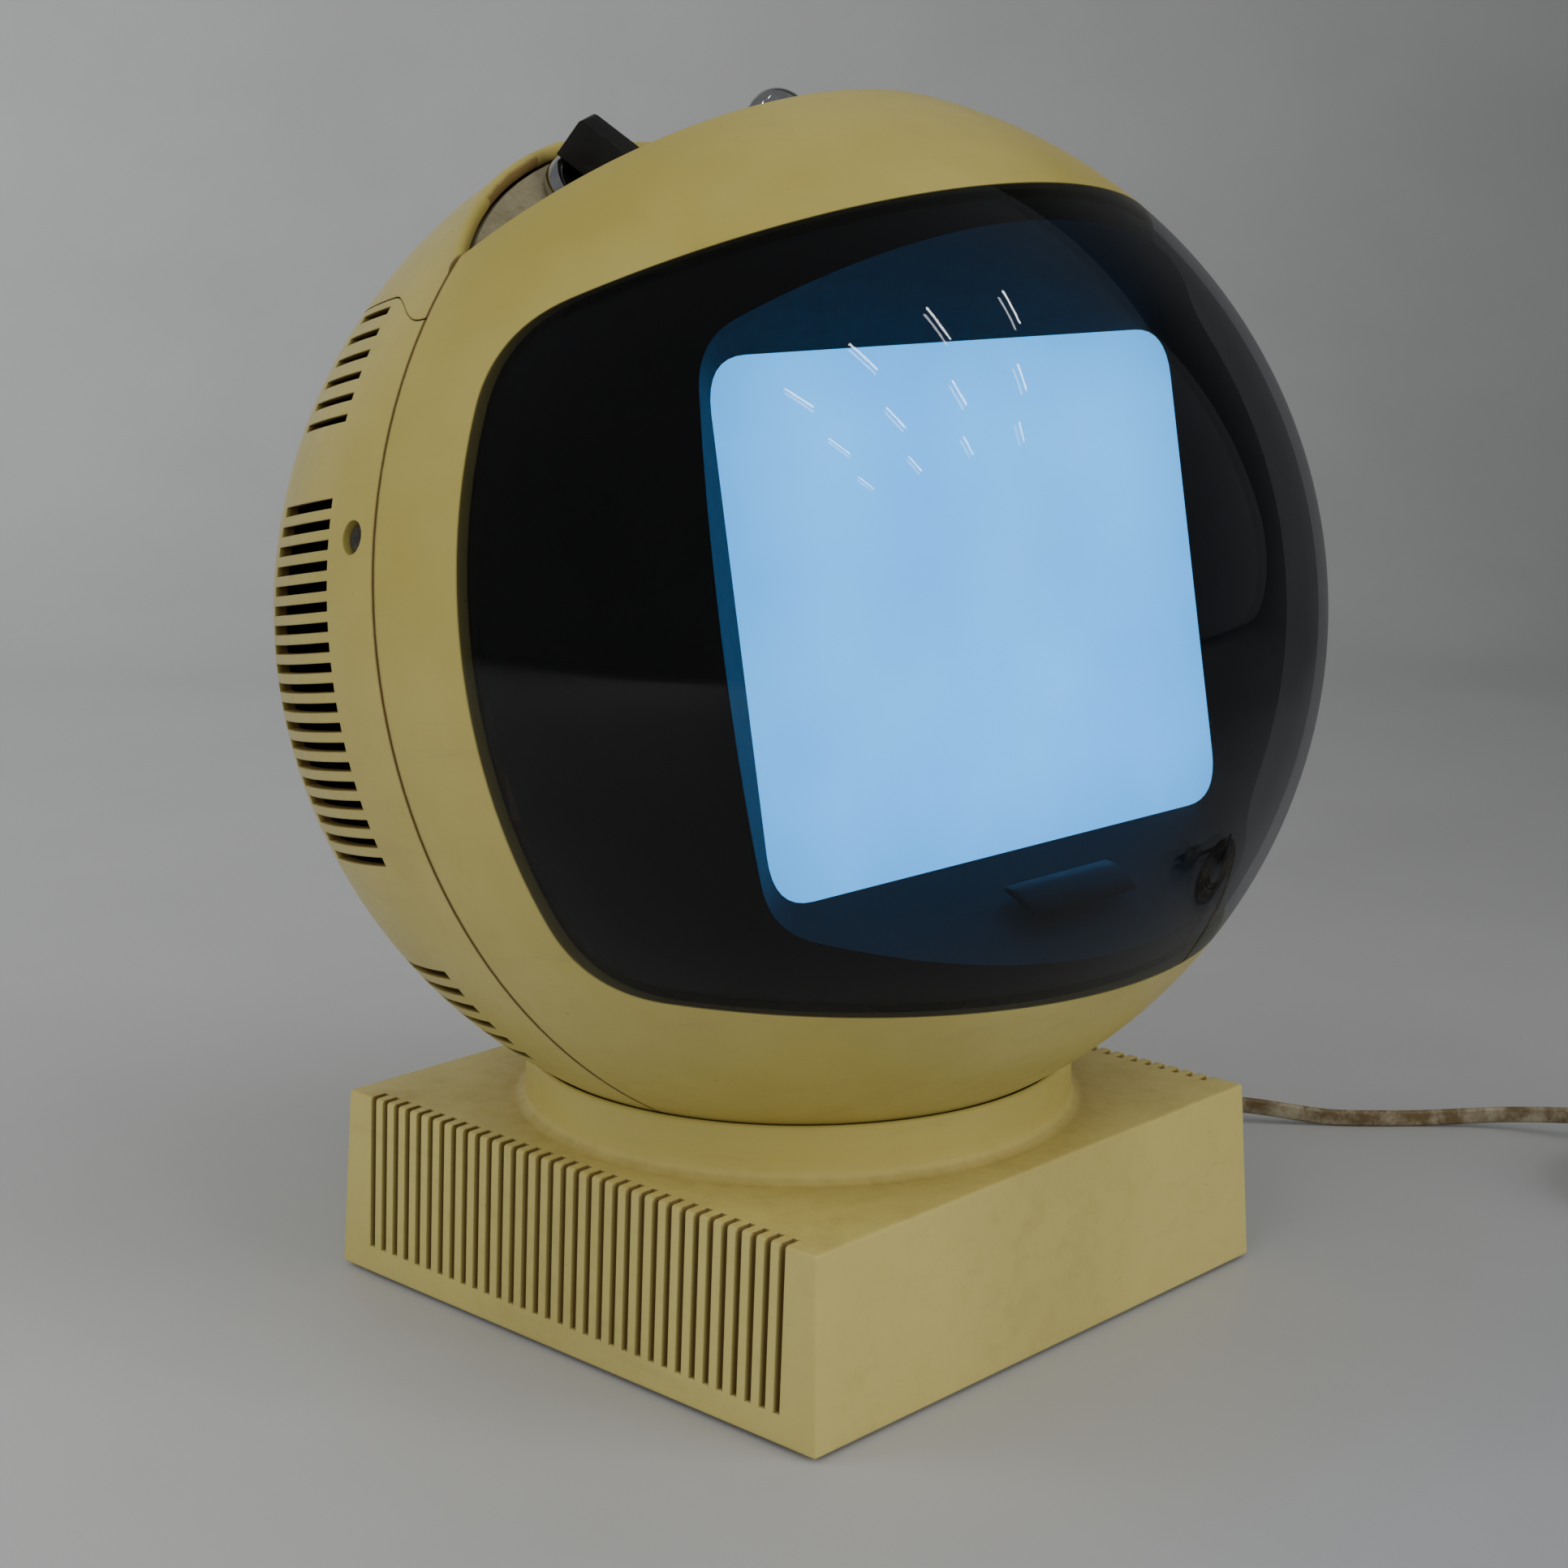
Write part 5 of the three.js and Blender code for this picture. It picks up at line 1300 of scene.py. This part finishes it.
# ---------- studio
def add_studio():
    """Pale table that curves up into a wall, with painted shade that darkens it a little to one side."""
    outline = []
    for i in range(25):
        angle = math.pi / 2 * i / 24
        outline.append((900 + 700 * math.sin(angle), 700 - 700 * math.cos(angle)))
    profile = [(-2600, 0), *outline, (1600, 2600)]
    verts = []
    faces = []
    for a, z in profile:
        verts += [(-3200, a, z), (3200, a, z)]
    for k in range(len(profile) - 1):
        faces.append([2 * k, 2 * k + 1, 2 * k + 3, 2 * k + 2])
    mesh = bpy.data.meshes.new("studio_sweep")
    mesh.from_pydata(verts, [], faces)
    for polygon in mesh.polygons:
        polygon.use_smooth = True
    sweep = new_object("studio_sweep", mesh)
    mesh.transform(Matrix.Scale(MM, 4) @ Matrix.Rotation(math.radians(-46.6), 4, "Z"))
    n = Nodes("studio_paper")
    where = n.coords()
    cloud = n.noise(where, 0.004, 4)
    colour = n.mix(n.ramp(cloud, 0.35, 0.65), (0.70, 0.70, 0.69), (0.76, 0.76, 0.75))
    x, y = n.split(where)[:2]
    # Painted shade: the paper darkens towards one side.
    across = n.math("SUBTRACT", n.times(x, 0.687), n.times(y, 0.727))
    colour = n.mix(n.ramp(across, -800, 800), colour, (0.27, 0.27, 0.27), "MULTIPLY")
    mesh.materials.append(n.surface(Base_Color=colour, Roughness=n.ramp(cloud, 0.3, 0.7, 0.4, 0.55)))


def add_light(name, place, target, size, power, tint=(1, 1, 1), reflected=False):
    data = bpy.data.lights.new(name, "AREA")
    data.shape = "RECTANGLE"
    data.size, data.size_y = size
    data.energy = power
    data.color = tint
    light = new_object(name, data)
    light.location = place
    light.rotation_euler = (Vector(target) - Vector(place)).to_track_quat("-Z", "Y").to_euler()
    light.visible_glossy = reflected


def add_lights():
    """Broad soft boxes, and twelve thin ceiling tubes that also show as highlights."""
    add_light("overhead", (-0.2, -0.4, 1.9), (0, 0, 0.15), (1.6, 1.6), 5)
    add_light("left", (-1.9, -0.5, 0.9), (0, 0, 0.15), (1.2, 1.0), 12, (0.97, 0.98, 1))
    add_light("front", (0.7, -2.1, 0.9), (0, 0, 0.12), (1.6, 1.1), 22)
    add_light("rear_left", (-1.2, 1.0, 1.3), (0, 0, 0.15), (1.0, 1.0), 8, (0.98, 0.99, 1))
    for row in range(3):
        for column in range(4):
            x = -1.6 + 0.7 * column + 0.2 * row
            y = -2.6 + 0.75 * row
            add_light(f"tube_{row}_{column}", (x, y, 2.3), (x, y, 0), (0.02, 0.34), 1.2, reflected=True)
    world = bpy.data.worlds.new("studio_air")
    world.use_nodes = True
    air = world.node_tree.nodes["Background"].inputs
    air["Color"].default_value = (0.55, 0.57, 0.6, 1)
    air["Strength"].default_value = 0.35
    bpy.context.scene.world = world


# ---------- assembly
add_base_housing()
add_feet()
add_front_shell()
add_hanging_eye()
add_rear_top_cover()
add_rear_shell()
add_side_screws()
add_visor()
add_mask()
add_name_block()
add_screen_face()
add_control_panel()
add_selector("vhf", -1, -1.15)
add_selector("uhf", 1, 0.05)
add_small_knobs()
add_rear_fittings()
dress_cad_nodes()
add_studio()
add_lights()
